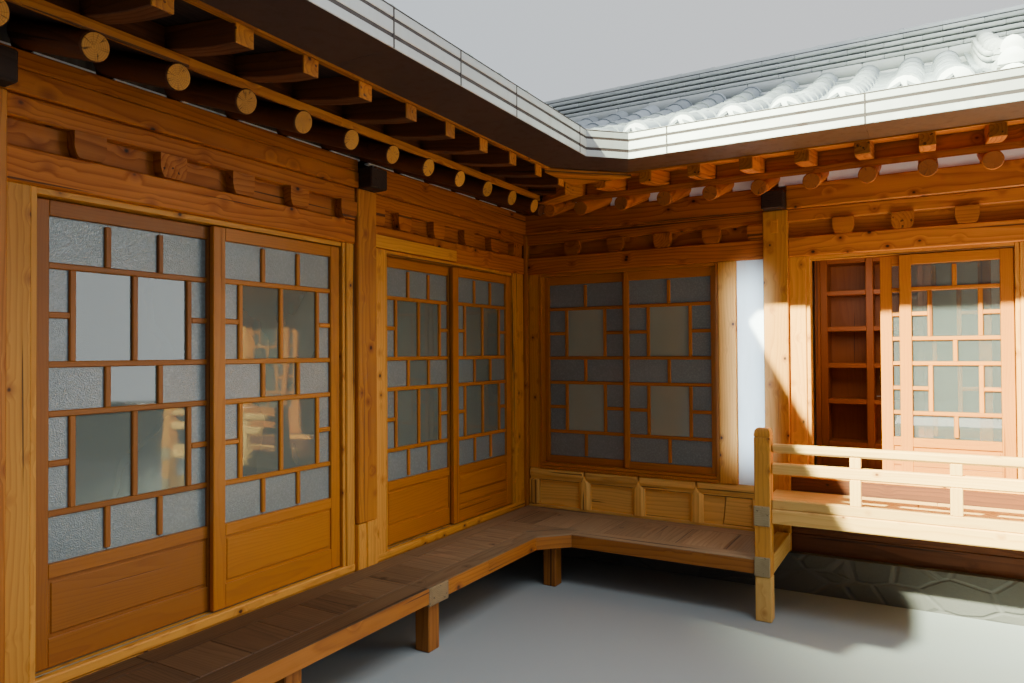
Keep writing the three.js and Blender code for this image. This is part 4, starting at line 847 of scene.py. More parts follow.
def addLeaf(name, wing, styleName, s0, s1, track, sill):
    style, depth, sliding = leafStyles[styleName], leaf[track], styleName != "window"
    near, far = depth - leaf["half"], depth + leaf["half"]
    stile = leaf["stile"] if sliding else leaf["sashStile"]
    bottom, top = (sill + leaf["lift"], leaf["top"]) if sliding else leaf["sash"]
    a, b = s0 + stile, s1 - stile
    stack, clear, figured = newStack(), newStack(), newStack()
    for x0, x1 in ((s0, a), (b, s1)):
        board(stack, wing, x0, x1, near, far, bottom, top, bevel=0.004)
    railLow, footTop = style["bottom"] - leaf["lockRail"], bottom + leaf["rail"]
    rails = [(style["top"], top), (railLow, style["bottom"]), (bottom, footTop)]
    for z0, z1 in rails if sliding else [rails[0], (bottom, style["bottom"])]:
        board(stack, wing, a, b, near + 0.001, far - 0.001, z0, z1, bevel=0.003)
    if sliding:
        # a sunk panel with a raised field
        edge = leaf["field"]
        z0, z1 = footTop + 0.004 + edge, railLow - 0.004 - edge
        board(stack, wing, a, b, near + 0.012, far - 0.004, footTop - 0.012, railLow + 0.01, bevel=0.001, tone=0.45)
        board(stack, wing, a + edge, b - edge, near + 0.006, far - 0.006, z0, z1, bevel=0.006, tone=0.4)
    latticeBoards(stack, wing, style, a, b, depth)
    if sliding:
        margin, length, half = leaf["shoe"]
        for x in (s0 + margin, s1 - margin - length):
            board(stack, wing, x, x + length, depth - half, depth + half, sill + 0.0003, bottom + 0.004, bevel=0.002)
    glassLights(clear, figured, wing, style, a, b, depth)
    body = name + "_leaf" if sliding else "house"
    glass = {"wing": glassClear, "deck": glassOpen, "window": glassWindow}[styleName]
    timber, glassNode = ("_leaf_timber", name + "_glass") if sliding else ("_timber", name.replace("sash", "glass"))
    # door_1 takes the door wood in painted shade
    housePiece(name + timber, stack, "doorShade" if name == "door_1" else "doorWood", name, body)
    housePiece(name + "_clear_lights", clear, glass, glassNode, body)
    housePiece(name + "_small_lights", figured, glassOpen if styleName == "deck" else glassFigured, (), body)


for name, measures in leaves.items():
    addLeaf(name, *measures)
print("leaves and sashes hung")

# Window casing, plastered strip and the panelled base

window = {"from": 0.141, "to": 1.800, "casing": 0.027, "sill": 0.845, "foot": 0.790, "top": 2.6497, "head": 2.620,
          "back": 0.155, "face": 0.038, "plasterFrom": 1.976, "west": 0.0003, "studBack": 0.165,
          "sillBoard": (0.020, 0.027)}


def addWindowCasing():
    w = window
    foot, top, back = w["foot"], w["top"], w["back"]
    west, east = w["from"] - w["casing"], w["to"] + w["casing"]
    stack, red = newStack(), newStack()
    board(stack, "north", w["west"], west - 0.001, 0.045, w["studBack"], foot, top, bevel=0.006, tone=0.3)
    board(stack, "north", east + 0.001, w["plasterFrom"], 0.025, w["studBack"], foot, top, bevel=0.006, tone=0.7)
    housePiece("window_studs", stack, "paleStud", "window_frame")
    proud, thick = w["sillBoard"]
    for s0, s1, face, z0, z1, bevel in (
            (west, w["from"], w["face"], foot, top, 0.004), (w["to"], east, w["face"], foot, top, 0.004),
            (w["from"], w["to"], 0.040, w["head"], top, 0.003),
            (w["from"], w["to"], 0.030, foot + 0.028, w["sill"], 0.005),
            (w["from"] - proud, w["to"] + proud, 0.020, foot + 0.0005, foot + thick, 0.006)):
        board(red, "north", s0, s1, face, back, z0, z1, bevel=bevel)
    housePiece("window_casing", red, "doorWood")
    paint("plaster_strip", whitePlaster)


wainscot = {
    "from": 0.0003, "to": 2.200, "foot": 0.300, "top": 0.7897, "rail": 0.105, "railFace": 0.022,
    "panelFace": 0.068, "stubFace": 0.026, "back": 0.150, "stubs": (0.048, 0.580, 1.106, 1.623, 2.145),
    # seam is the height of the painted shadow strip under the rail
    "stubHalf": 0.059, "stubChamfer": 0.030, "stubHead": 0.058, "low": 0.440, "notch": 0.013, "seam": 0.008,
    "lastPanel": 0.012, "slantedSeam": (1.846, 1.870, 0.004),
}


def roundedRail(stack, s0, s1, z0, z1, face, back, edge=0.012):
    # a round face over a hollow step along the lower edge, the ends eased into a notch
    section = [(back, z0), (back, z1), (face + 0.022, z1), (face + 0.007, z1 - 0.010), (face, z1 - 0.032),
               (face + 0.002, z0 + 0.042), (face + 0.010, z0 + 0.026), (face + 0.013, z0 + 0.022), (face + 0.017, z0)]
    eased = [(d + (edge if d < back else 0), z) for d, z in section]
    stations = ((s0, eased), (s0 + edge, section), (s1 - edge, section), (s1, eased))
    loft(stack, [[(s, d, z) for d, z in loop] for s, loop in stations], (1, 0, 0))


def pointedStub(stack, s, s0, s1, z0, z1, face, back, chamfer, head):
    # a short post with broad chamfers that meet in a point above the panels
    half, slope = (s1 - s0) / 2, face + chamfer * 0.8
    loops = []
    for z, inwards in ((z0, 0), (z1 - head * 0.15, 0), (z1 + head * 0.45, half * 0.55), (z1 + head, half * 0.97)):
        left, right = s0 + inwards, s1 - inwards
        edge = chamfer + inwards * 0.6
        loops.append([(left, back, z), (left, slope, z), (min(s0 + edge, s), face, z), (max(s1 - edge, s), face, z),
                      (right, slope, z), (right, back, z)])
    loft(stack, loops, (0, 0, 1), 0.85)


def addWainscot():
    w = wainscot
    stack, railShadows = newStack(), newStack()
    spots, half, back, top = w["stubs"], w["stubHalf"], w["back"], w["top"]
    railLow = top - w["rail"]
    z0, z1 = w["low"] + 0.0005, railLow - 0.0005
    # rounded top rail in one length for each panel
    edges = [w["from"], *spots[1:-1], w["to"]]
    for s0, s1 in zip(edges, edges[1:]):
        roundedRail(stack, s0 + w["notch"] / 2, s1 - w["notch"] / 2, railLow, top, w["railFace"], back)
    board(stack, "north", w["from"], w["to"], w["railFace"] + 0.045, back, railLow, top - 0.004, bevel=0.001, tone=0.0)
    board(stack, "north", w["from"], w["to"], w["railFace"] + 0.004, back, w["foot"], w["low"], bevel=0.005)
    for s in spots:
        s0, s1 = max(s - half, w["from"]), min(s + half, w["to"])
        if s in (spots[0], spots[-1]):
            board(stack, "north", s0, s1, w["stubFace"], back, z0, z1, bevel=0.012)
        else:
            pointedStub(stack, s, s0, s1, z0, railLow, w["stubFace"] - 0.006, back, w["stubChamfer"], w["stubHead"])
    for left, right in zip(spots, spots[1:]):
        s0, s1, last = left + half, right - half, right == spots[-1]
        face = w["panelFace"] - (w["lastPanel"] if last else 0.0)
        # a dark strip on each panel just under the rail: the rail's painted shadow
        board(railShadows, "north", s0 + 0.001, s1 - 0.001, face - 0.0015, face + 0.002, z1 - w["seam"], z1, bevel=0.0004)
        if last:
            # the last panel is in two boards with a slanted seam
            low, high, gap = w["slantedSeam"]
            for outline in ([(s0, z0), (low - gap, z0), (high - gap, z1), (s0, z1)],
                            [(low + gap, z0), (s1, z0), (s1, z1), (high + gap, z1)]):
                loft(stack, [[(s, d, z) for s, z in outline] for d in (face, back)], (1, 0, 0), 0.8)
        else:
            board(stack, "north", s0, s1, face, back, z0, z1, bevel=0.001, tone=0.7)
    housePiece("wainscot", stack, "wainscotPine", "window_base")
    housePiece("wainscot_seams", railShadows, groovePaintAndPaintedShade)


addWindowCasing()
addWainscot()

# Shelves that show through the deck door, and the red framed opening in front of them

rack = {"from": 2.392, "to": 3.380, "near": 1.500, "far": 1.800, "foot": 0.787, "top": 2.780, "stile": 0.114,
        "middle": (2.840, 2.905), "board": 0.045, "base": 1.021, "back": 0.020, "shelves": (1.431, 1.775, 2.127, 2.472),
        # the lever of a latch and its spindle: start, end, radius, chamfer
        "lever": (((2.925, 1.484, 1.467), (3.000, 1.484, 1.467), 0.006, 0.002),
                  ((2.936, 1.484, 1.467), (2.936, 1.5002, 1.467), 0.005, 0.001))}


def addRack():
    r = rack
    stack = newStack()
    inner = (r["from"] + r["stile"], r["to"] - r["stile"])
    rear = r["far"] - r["back"]
    for s0, s1 in ((r["from"], inner[0]), (inner[1], r["to"])):
        seam = s0 + (s1 - s0) * 0.42
        board(stack, "north", s0, seam - 0.001, r["near"], r["far"], r["foot"], r["top"], bevel=0.005, tone=0.9)
        board(stack, "north", seam + 0.001, s1, r["near"] + 0.005, r["far"], r["foot"], r["top"], bevel=0.005, tone=0.3)
    board(stack, "north", *r["middle"], r["near"] + 0.001, rear, r["foot"], r["top"], bevel=0.005, tone=0.7)
    board(stack, "north", *inner, rear, r["far"], r["foot"], r["top"], bevel=0.001, tone=0.0)
    for s0, s1 in ((inner[0], r["middle"][0]), (r["middle"][1], inner[1])):
        for z in (*r["shelves"], r["top"]):
            board(stack, "north", s0, s1, r["near"] + 0.003, rear, z - r["board"], z, bevel=0.004, tone=1.0)
        board(stack, "north", s0, s1, r["near"] + 0.004, rear, r["foot"], r["base"], bevel=0.004, tone=0.5)
    housePiece("shelf_rack_timber", stack, "shelfWood", "shelf_rack")
    lever = newStack()
    for start, end, radius, chamfer in r["lever"]:
        log(lever, start, end, radius, sides=10, chamfer=chamfer)
    housePiece("shelf_rack_lever", lever, leverMetal)


addRack()

# Frames of the outer sides

outer = {"face": 2.590, "back": 2.460, "foot": 0.300, "head": 3.030, "half": 0.095,
         "purlin": (2.400, 2.590, 3.0305, 3.222),
         # rails: bottom, top, how far they stand in
         "rails": ((0.300, 0.440, 0.015), (1.500, 1.620, 0.025), (2.650, 2.808, 0.015), (2.932, 3.030, 0.015))}
outerRuns = {
    # wing, from, to, post centres, end face
    "outer_frame_west": ("west", -2.590, 4.710, (4.615, 2.265, -0.095, -2.495), 4.710),
    "outer_frame_north": ("north", -2.460, 4.165, (-0.095, 2.295, 4.070), 4.165),
}


def addOuterFrames():
    o = outer
    half, levels = o["half"], o["rails"]
    for name, (wing, s0, s1, posts, endFace) in outerRuns.items():
        stack = newStack()
        spots = sorted(posts)
        for p in spots:
            a, b = max(p - half, s0), min(p + half, s1)
            board(stack, wing, a, b, o["back"], o["face"], o["foot"], o["head"], bevel=0.006)
        clear = [(a + half + 0.0005, b - half - 0.0005) for a, b in zip(spots, spots[1:])]
        if wing == "north":
            clear.insert(0, (-2.3995, spots[0] - half - 0.0005))
        for a, b in clear:
            for z0, z1, inwards in levels:
                board(stack, wing, a, b, o["back"], o["face"] - inwards, z0, z1, bevel=0.005)
        for z0, z1, inwards in levels[:3]:
            board(stack, wing, endFace - 0.130, endFace - inwards, 0.1905, o["back"] - 0.0005, z0, z1,
                  bevel=0.005, grain=1)
        housePiece(name + "_timber", stack, "honeyPine", name)
    for wing, a, b in (("west", -2.550, 5.130), ("north", -2.3997, 4.585)):
        stack = newStack()
        board(stack, wing, a, b, *o["purlin"], bevel=0.006)
        housePiece(f"back_purlin_{wing}_timber", stack, "honeyPine", f"back_purlin_{wing}")
        paint(f"outer_wall_{wing}", limePlaster)


addOuterFrames()
print("window, panels and outer frames built")

# Bench: a long board at the wall and one at the front with short boards across between them,
# inside an apron whose worn top is flush with them

bench = {"top": 0.428, "board": 0.032, "front": 0.637, "frontNorth": 0.801, "chamfer": 0.209,
         "apron": 0.103, "apronThick": 0.060, "leg": 0.112, "southEnd": 4.710, "eastEnd": 2.2797,
         "backWidth": 0.150, "frontWidth": 0.157, "pitch": 0.300, "seam": -3.342, "seamNorth": 1.055, "worn": 0.006}
benchLegs = ((0.495, -4.650), (0.495, -3.560), (0.495, -2.388), (0.612, -0.850))
benchLengths = {
    # joints of the long boards, of the worn front and of the apron, and where the bearers lie
    "west": (-3.95, -1.9), "north": (1.25,), "front": (-2.44, -0.99), "apron": (-2.424, -2.216, -1.720),
    "bearers": (-4.100, -2.900, -1.750), "bearersNorth": (1.150, 1.750), "bearer": (0.060, 0.065),
}


def floorBoard(stack, outline, z0, z1, along, tone=None, edge=0.003):
    # a flat board of any straight-sided outline with its upper edges eased
    centre = Vector((sum(x for x, _ in outline) / len(outline), sum(y for _, y in outline) / len(outline)))
    inner = []
    for corner in outline:
        offset = Vector(corner) - centre
        inner.append(centre + offset * max(0.0, 1 - edge * 1.4 / max(offset.length, 0.02)))
    levels = ((z0, outline), (z1 - edge, outline), (z1, inner))
    loft(stack, [[(x, y, z) for x, y in loop] for z, loop in levels], along, tone)


def addBenchTop():
    b = bench
    low, top, gap = b["top"] - b["board"], b["top"], 0.0014
    stack, pale = newStack(), newStack()
    front, north, south, east = b["front"], -b["frontNorth"], -b["southEnd"], b["eastEnd"]
    thick = b["apronThick"]
    inside, insideNorth = front - thick - 0.0003, north + thick + 0.0003
    back, fore = b["backWidth"], front - b["frontWidth"]
    backNorth, foreNorth = -b["backWidth"], north + b["frontWidth"]
    turn = b["chamfer"]

    def lay(x0, x1, y0, y1, z0=low, z1=top, along=(0, 1, 0), tone=None, into=stack):
        floorBoard(into, [(x0, y0), (x1, y0), (x1, y1), (x0, y1)], z0, z1, along, tone)

    # long boards, each in a few lengths
    ends = (south + thick, *benchLengths["west"], -0.0005)
    for y0, y1 in zip(ends, ends[1:]):
        lay(0.0005, back - gap, y0 + gap, y1 - gap, tone=0.35)
    ends = (back, *benchLengths["north"], east)
    for x0, x1 in zip(ends, ends[1:]):
        lay(x0 + gap, x1 - gap, backNorth + gap, -0.0005, along=(1, 0, 0), tone=0.55, into=pale)
    # the front board and the worn top of the apron read as one
    worn = top - b["worn"]
    lay(fore + gap, inside, south + thick, insideNorth, z1=worn - 0.0004, tone=0.3)
    lay(inside, east, insideNorth, foreNorth - gap, z1=worn - 0.0004, along=(1, 0, 0), tone=0.5, into=pale)
    ends = (south, *benchLengths["front"])
    for y0, y1 in zip(ends, ends[1:]):
        lay(fore + gap, front, y0 + gap, y1 - gap, z0=worn, tone=0.2 if y0 == south else 0.3)
    start = ends[-1] + gap
    corner = [(fore + gap, start), (front, start), (front, north - turn), (front + turn, north),
              (front + turn, foreNorth - gap), (fore + gap, foreNorth - gap)]
    floorBoard(pale, corner, worn, top, (1, 1, 0), 0.0)
    lay(front + turn + gap, east, north, foreNorth - gap, z0=worn, along=(1, 0, 0), tone=0.75, into=pale)
    lay(0.0005, fore - gap, south, south + thick - gap, z0=worn, along=(1, 0, 0), tone=0.5)
    # short boards across
    y = b["seam"] - 4 * b["pitch"]
    while y < foreNorth:
        lay(back + gap, fore - gap, max(y, south + thick) + gap, min(y + b["pitch"], foreNorth) - gap, along=(1, 0, 0))
        y += b["pitch"]
    pitch = b["pitch"] + 0.02
    x = b["seamNorth"] - 3 * pitch
    while x < east - 0.05:
        lay(max(x, back) + gap, min(x + pitch, east) - gap, foreNorth + gap, backNorth - gap,
            into=pale if x > 0.35 else stack)
        x += pitch
    housePiece("bench_boards_timber", stack, "benchOak", "bench_boards")
    housePiece("bench_boards_north", pale, "benchGrey")


def addBenchBase():
    b = bench
    base, blocks = newStack(), newStack()
    thick, bottom = b["apronThick"], b["top"] - b["apron"]
    top, low = b["top"] - b["worn"] - 0.0004, b["top"] - b["board"] - 0.0003
    f, n, c, s = b["front"], -b["frontNorth"], b["chamfer"], -b["southEnd"]
    turn = thick * (math.sqrt(2) - 1)

    def apron(outline, along, tone=None, high=top):
        floorBoard(base, outline, bottom, high, along, tone, edge=0.004)

    # the front in lengths, with an end-grain block at the second leg
    joints, inner, east, leg = (s, *benchLengths["apron"], n - c), f - thick, b["eastEnd"], b["leg"]
    for y0, y1 in zip(joints, joints[1:]):
        if y0 == joints[1]:
            board(blocks, "north", inner, f + 0.004, y0, y1, bottom - 0.022, top, bevel=0.006, grain=0, tone=0.8)
            continue
        last = y1 == n - c
        apron([(inner, y0 + 0.001), (f, y0 + 0.001), (f, y1 - 0.001), (inner, y1 + (turn if last else 0) - 0.001)],
              (0, 1, 0), 0.7 if y0 == s else 0.9 if last else 1.0)
    apron([(f, n - c), (f + c, n), (f + c - turn, n + thick), (inner, n - c + turn)], (1, 1, 0), 1.0)
    apron([(f + c + 0.001, n), (east, n), (east, n + thick), (f + c - turn + 0.001, n + thick)], (1, 0, 0), 0.35)
    apron([(0.041, s), (inner - 0.001, s), (inner - 0.001, s + thick), (0.041, s + thick)], (1, 0, 0))
    # rails along the walls, and bearers
    apron([(0.0005, s), (0.040, s), (0.040, -0.0405), (0.0005, -0.0405)], (0, 1, 0), high=low)
    apron([(0.0005, -0.040), (east, -0.040), (east, -0.0005), (0.0005, -0.0005)], (1, 0, 0), high=low)
    wide, deep = benchLengths["bearer"]
    for y in benchLengths["bearers"]:
        board(base, "north", 0.041, inner - 0.001, y, y + wide, low - deep, low, bevel=0.003)
    for x in benchLengths["bearersNorth"]:
        board(base, "north", x, x + wide, n + thick + 0.001, -0.041, low - deep, low, bevel=0.003)
    for x, y in benchLegs:
        board(base, "north", x, x + leg, y, y + leg, 0.0, bottom - 0.0005, bevel=0.006, grain=2, tone=0.3)
        reach = min(leg - 0.01, inner - 0.001 - x) if y < n - 0.1 else leg - 0.01
        board(base, "north", x + 0.01, x + reach, y + 0.01, y + leg - 0.01, bottom - 0.001, low - 0.002,
              bevel=0.002, grain=2)
    housePiece("bench_base_timber", base, "apronWood", "bench_base")
    housePiece("bench_end_block", blocks, "greyEnd")


addBenchTop()
addBenchBase()

# Raised deck with capped posts and a rail

deck = {"top": 0.787, "board": 0.030, "front": 0.785, "postFront": 0.815, "post": 0.110, "west": 2.280, "east": 4.165,
        "fasciaLow": 0.686, "shaft": 1.290, "neck": 1.299, "foot": 0.314, "tie": (0.3143, 0.451),
        "grain": (0.668, 0.808), "proud": 0.007, "joists": (2.78, 3.150, 3.62),
        "boardEdges": (-0.7047, -0.56, -0.42, -0.28, -0.14, -0.0003),
        # half width and height over the neck of the cap's steps
        "cap": ((0.055, -0.001), (0.055, 0.012), (0.050, 0.039), (0.041, 0.050), (0.035, 0.054)),
        # rails: how far they stand out, bottom, top, bevel; blocks between them: centres, half width, bottom, top
        "rails": ((0.0, 0.7873, 0.855, 0.006), (-0.002, 1.032, 1.108, 0.008), (0.005, 1.180, 1.242, 0.014)),
        "blocks": (2.925, 3.499), "blockHalf": 0.034, "blockLevels": ((0.855, 1.032), (1.108, 1.181))}


def addDeckPost(stack, foot, x):
    d = deck
    y0, y1 = -d["postFront"], -d["postFront"] + d["post"]
    x0, x1 = x, x + d["post"]
    middle, depth = (x0 + x1) / 2, (y0 + y1) / 2
    board(foot, "north", x0, x1, y0, y1, 0.0, d["foot"], bevel=0.006, grain=2, tone=0.3)
    board(stack, "north", x0, x1, y0, y1, d["foot"] + 0.0005, d["shaft"], bevel=0.005, grain=2, tone=0.6)
    board(stack, "north", x0 + 0.004, x1 - 0.004, y0 + 0.004, y1 - 0.004, d["shaft"] - 0.001, d["neck"],
          bevel=0.001, grain=2)
    corners = ((-1, -1), (1, -1), (1, 1), (-1, 1))
    loops = [[(middle + a * half, depth + b * half, d["neck"] + lift) for a, b in corners] for half, lift in d["cap"]]
    loft(stack, loops, (0, 0, 1), 0.9)


def addDeck():
    # the deck's timbers, boards and rail are paled as painted sunlight
    d = deck
    stack, posts, plugs, boards, rail = (newStack() for _ in range(5))
    ends, low = (d["west"], d["east"] - d["post"]), d["fasciaLow"]
    for x in ends:
        addDeckPost(posts, stack, x)
        board(stack, "north", x + 0.003, x + d["post"] - 0.003, -d["postFront"] + d["post"], -0.0005, *d["tie"],
              bevel=0.005, tone=0.1)
    housePiece("deck_posts", posts, "paleStud")
    board(stack, "north", ends[0] + d["post"] - 0.002, ends[1] + 0.002, -d["front"], -d["front"] + 0.080, low, d["top"],
          bevel=0.008)
    joistTop = d["top"] - d["board"] - 0.0003
    for x in (ends[0] + 0.020, *d["joists"], ends[1] + 0.020):
        board(stack, "north", x, x + 0.070, -0.707, -0.0005, low, joistTop, bevel=0.004)
    board(stack, "north", ends[0] + 0.100, ends[1] + 0.010, -0.090, -0.020, low + 0.001, joistTop - 0.001, bevel=0.004)
    housePiece("deck_base_timber", stack, "railPinePaintedLight", "deck_base")
    # grey end grain of the beams let through the posts
    face = -d["postFront"] - d["proud"]
    for x in ends:
        for z0, z1 in (d["grain"], d["tie"]):
            board(plugs, "north", x - 0.005, x + d["post"] - 0.006, face, face + 0.027, z0, z1, bevel=0.005, grain=1)
    housePiece("deck_post_ends", plugs, "postEnd")
    gap = 0.0008
    for y0, y1 in zip(d["boardEdges"], d["boardEdges"][1:]):
        joint = 3.0 + dice.random() * 0.4
        for x0, x1 in ((d["west"] + gap, joint - gap), (joint + gap, d["east"] - gap)):
            outline = [(x0, y0 + gap), (x1, y0 + gap), (x1, y1 - gap), (x0, y1 - gap)]
            floorBoard(boards, outline, d["top"] - d["board"], d["top"], (1, 0, 0))
    housePiece("deck_floor_boards", boards, "railPinePaintedLight", "deck_boards")
    x0, x1 = ends[0] + d["post"] + 0.0003, ends[1] - 0.0003
    near, far = -d["front"] + 0.008, -d["front"] + 0.068
    for out, z0, z1, bevel in d["rails"]:
        board(rail, "north", x0, x1, near - out, far + out, z0, z1, bevel=bevel)
    for x in d["blocks"]:
        for z0, z1 in d["blockLevels"]:
            board(rail, "north", x - d["blockHalf"], x + d["blockHalf"], near + 0.004, far - 0.004, z0, z1, bevel=0.004)
    housePiece("deck_railing_timber", rail, "railPinePaintedLight", "deck_railing")


addDeck()
print("bench and deck laid")

# Roof. Heights are given at a distance out from the ridge line, on either side of it.

roof = {
    "ridgeLine": 1.295, "ridgeBed": 4.430, "slope": 0.5, "curve": 0.03877, "eave": 2.475,
    "rafterSlope": 0.32, "rafterAxis": 3.3178, "axisAt": 1.2, "radius": 0.062, "halfHeight": 0.0651, "board": 0.025,
    "logEnd": 1.835, "flyingTip": 2.265, "flyingTail": 1.145, "tipBottom": 3.155, "flyingSlope": 0.134,
    "flyingHeight": 0.110, "flyingWidth": 0.092, "upperBoard": 0.022,
    "pitch": 0.363, "first": 0.465, "diagonal": 0.1065, "diagonalHalf": 0.075,
    "boardWidth": 0.18, "boardCount": 10, "upperRows": (1.30, 1.50, 1.68, 1.86, 2.05), "lastBoard": 0.046,
    "strip": (0.010, -0.045, 0.010, 0.003), "lip": (0.020, 0.045, 0.052),
    "stripLengths": {1: (-3.6, -1.4, 0.75, 2.66, 4.05), -1: (-3.6, -1.7, 0.4, 2.5)},
    "belly": ((2.12, -0.006), (1.95, -0.002), (1.80, 0.010)), "crossing": 1.590,
    "plaster": {"front": 0.012, "back": 0.055, "foot": 3.2225, "west": 3.234, "at": 1.28, "gap": 0.045},
    "plug": (1.790, 1.805, 3.222, 3.3262), "ridgeBeam": (1.215, 1.375, 3.5003, 3.690),
    "cornerBoard": ((0.960, -1.440), (0.960, -0.992), (0.992, -0.960), (1.440, -0.960)),
    "cornerHeights": (3.2055, 3.2385),
}
wingEnds = {"west": 5.160, "north": 4.615}


def bedHeight(out):
    return roof["ridgeBed"] - roof["slope"] * out + roof["curve"] * out * out


def axisHeight(out):
    return roof["rafterAxis"] - roof["rafterSlope"] * (out - roof["axisAt"])


def boardHeight(out):
    return axisHeight(out) + roof["halfHeight"] + roof["board"]


def flyingBottom(out):
    return roof["tipBottom"] + roof["flyingSlope"] * (roof["flyingTip"] - out)


def upperTop(out):
    return flyingBottom(out) + roof["flyingHeight"] + roof["upperBoard"]


def depthAt(side, out):
    return roof["ridgeLine"] - side * out


def clipped(section, limit):
    # keeps the part of a (d, z) outline that has d above the limit
    kept = []
    for (d0, z0), (d1, z1) in zip(section, section[1:] + section[:1]):
        if d0 >= limit:
            kept.append((d0, z0))
        if (d0 - limit) * (d1 - limit) < 0:
            t = (limit - d0) / (d1 - d0)
            kept.append((limit, z0 + (z1 - z0) * t))
    return kept


def inset(section, edge):
    area = sum(a[0] * b[1] - b[0] * a[1] for a, b in zip(section, section[1:] + section[:1]))
    turned = []
    for before, here, after in zip(section[-1:] + section[:-1], section, section[1:] + section[:1]):
        first = (Vector(here) - Vector(before)).normalized()
        second = (Vector(after) - Vector(here)).normalized()
        normals = [Vector((-v.y, v.x)) * (1 if area > 0 else -1) for v in (first, second)]
        push = (normals[0] + normals[1]) / max(0.4, 1 + normals[0].dot(normals[1]))
        turned.append(tuple(Vector(here) + push * edge))
    return turned


def easedBeam(stack, wing, section, s0, s1, along, edge=0.004):
    small = inset(section, edge)
    stations = ((s0, small), (s0 + edge, section), (s1 - edge, section), (s1, small))
    loft(stack, [[place(wing, s, d, z) for d, z in loop] for s, loop in stations], along)


def addRafters():
    r = roof
    half = r["flyingWidth"] / 2
    for wing, end in wingEnds.items():
        timber, strips, boards, infill, paintedShadeInfill, sawn, tips, plugs = (newStack() for _ in range(8))
        margin = r["diagonal"]
        spots = [r["first"] + k * r["pitch"] for k in range(-10, 14)]
        spots = [s for s in spots if -3.395 < s < end - 0.04]
        for side in (1, -1):
            for s in spots:
                limit = margin - s
                top, tip = 0.06, r["logEnd"]
                if side > 0:
                    tip = min(tip, r["ridgeLine"] - limit + 0.06)
                else:
                    top = max(top, limit - r["ridgeLine"] - 0.06)
                if tip - top > 0.15:
                    size = r["radius"] * dice.uniform(0.95, 1.0)
                    at = lambda out: place(wing, s, depthAt(side, out), axisHeight(out))
                    log(timber, at(top), at(tip), size, sides=20)
                    if tip == r["logEnd"]:
                        log(sawn, at(tip - 0.004), at(tip + 0.002), size - 0.0045, 20, 0.001, (0.006, -0.004))
                tail, crossing, nose = r["flyingTail"] + 0.02, r["crossing"], r["flyingTip"] - 0.008
                outline = [
                    (nose, flyingBottom(nose)), *((out, flyingBottom(out) + lift) for out, lift in r["belly"]),
                    (crossing, boardHeight(crossing) - 0.002), (tail, boardHeight(tail) + 0.001),
                    (tail, flyingBottom(tail) + r["flyingHeight"]), (nose, flyingBottom(nose) + r["flyingHeight"])]
                section = clipped([(depthAt(side, out), z) for out, z in outline], limit - half)
                if len(section) > 2:
                    easedBeam(timber, wing, section, s - half, s + half, place(wing, 0, 1, r["flyingSlope"] * side))
                    if depthAt(side, r["flyingTip"]) > limit:
                        foot = flyingBottom(r["flyingTip"])
                        near, far = depthAt(side, nose), depthAt(side, r["flyingTip"])
                        board(tips, wing, s - half + 0.001, s + half - 0.001, near, far, foot + 0.002,
                              foot + r["flyingHeight"] - 0.002, bevel=0.003, grain=1, heart=(0.02, 0.03))
            # strip over the rafter ends, and the thin one over the tips of the flying rafters
            near, far, drop, lift = r["strip"]
            near, far = r["logEnd"] + near, r["logEnd"] + far
            low = lambda out: boardHeight(out) - r["board"] - drop
            high = lambda out: flyingBottom(out) + lift
            strip = [(far, low(far)), (near, low(near)), (near, high(near)), (far, high(far))]
            reach, wide, thick = r["lip"]
            tip = r["flyingTip"] + reach
            back = tip - wide
            lip = [(out, upperTop(out) - drop) for out, drop in ((back, thick), (tip, thick), (tip, 0), (back, 0))]
            lengths = [*r["stripLengths"][side], end - 0.005]
            for outline in (strip, lip):
                section = [(depthAt(side, out), z) for out, z in outline]
                furthest = margin - min(d for d, _ in section)
                for a, b in zip(lengths, lengths[1:]):
                    if b > furthest + 0.1:
                        profileBeam(strips, wing, section, a, b - 0.0015, margin)
            # upright boards that close the gaps between the flying rafters
            plug = sorted(depthAt(side, out) for out in r["plug"][:2])
            for a, b in zip(spots, spots[1:] + [end]):
                a = max(a + half, margin - plug[0])
                if b - half - a > 0.05:
                    board(plugs, wing, a + 0.0005, b - half - 0.0005, *plug, *r["plug"][2:], bevel=0.001)
            # boards across the rafters and across the flying rafters
            rows = [k * r["boardWidth"] for k in range(r["boardCount"])] + [r["logEnd"] - r["lastBoard"]]
            upperRows = [*r["upperRows"], tip - r["lastBoard"]]
            for outs, top, thick in ((rows, boardHeight, r["board"]), (upperRows, upperTop, r["upperBoard"])):
                for a, b in zip(outs, outs[1:]):
                    a, b = a + 0.0008, b - 0.0008
                    corners = ((a, 0), (b, 0), (b, thick), (a, thick))
                    section = [(depthAt(side, out), top(out) - drop) for out, drop in corners]
                    profileBeam(boards, wing, section, -9, end - 0.005, margin)
        near, far, low, high = r["ridgeBeam"]
        profileBeam(timber, wing, [(near, low), (far, low), (far, high), (near, high)], -9, end - 0.005, margin)
        west = wing == "west"
        if not west:
            # board across the corner under the soffit
            loops = [[(x, y, z) for x, y in r["cornerBoard"]] for z in r["cornerHeights"]]
            loft(strips, loops, (1, 1, 0), 0.6)
        # on the west the rafters and the eave plugs are darkened as painted shade
        housePiece(f"rafters_{wing}_timber", timber, "paintedShadeTimber" if west else "friezePine", f"rafters_{wing}")
        for part, stack, finish in (
                ("eave_strips", strips, "honeyPine"), ("rafter_tips", tips, "honeyPine"),
                # the north sawn rafter ends in painted shade
                ("rafter_ends", sawn, "logEnd" if west else "northLogEndPaintedShade"),
                ("eave_plugs", plugs, "paintedShadeTimber" if west else "honeyPine")):
            housePiece(f"{part}_{wing}", stack, finish)
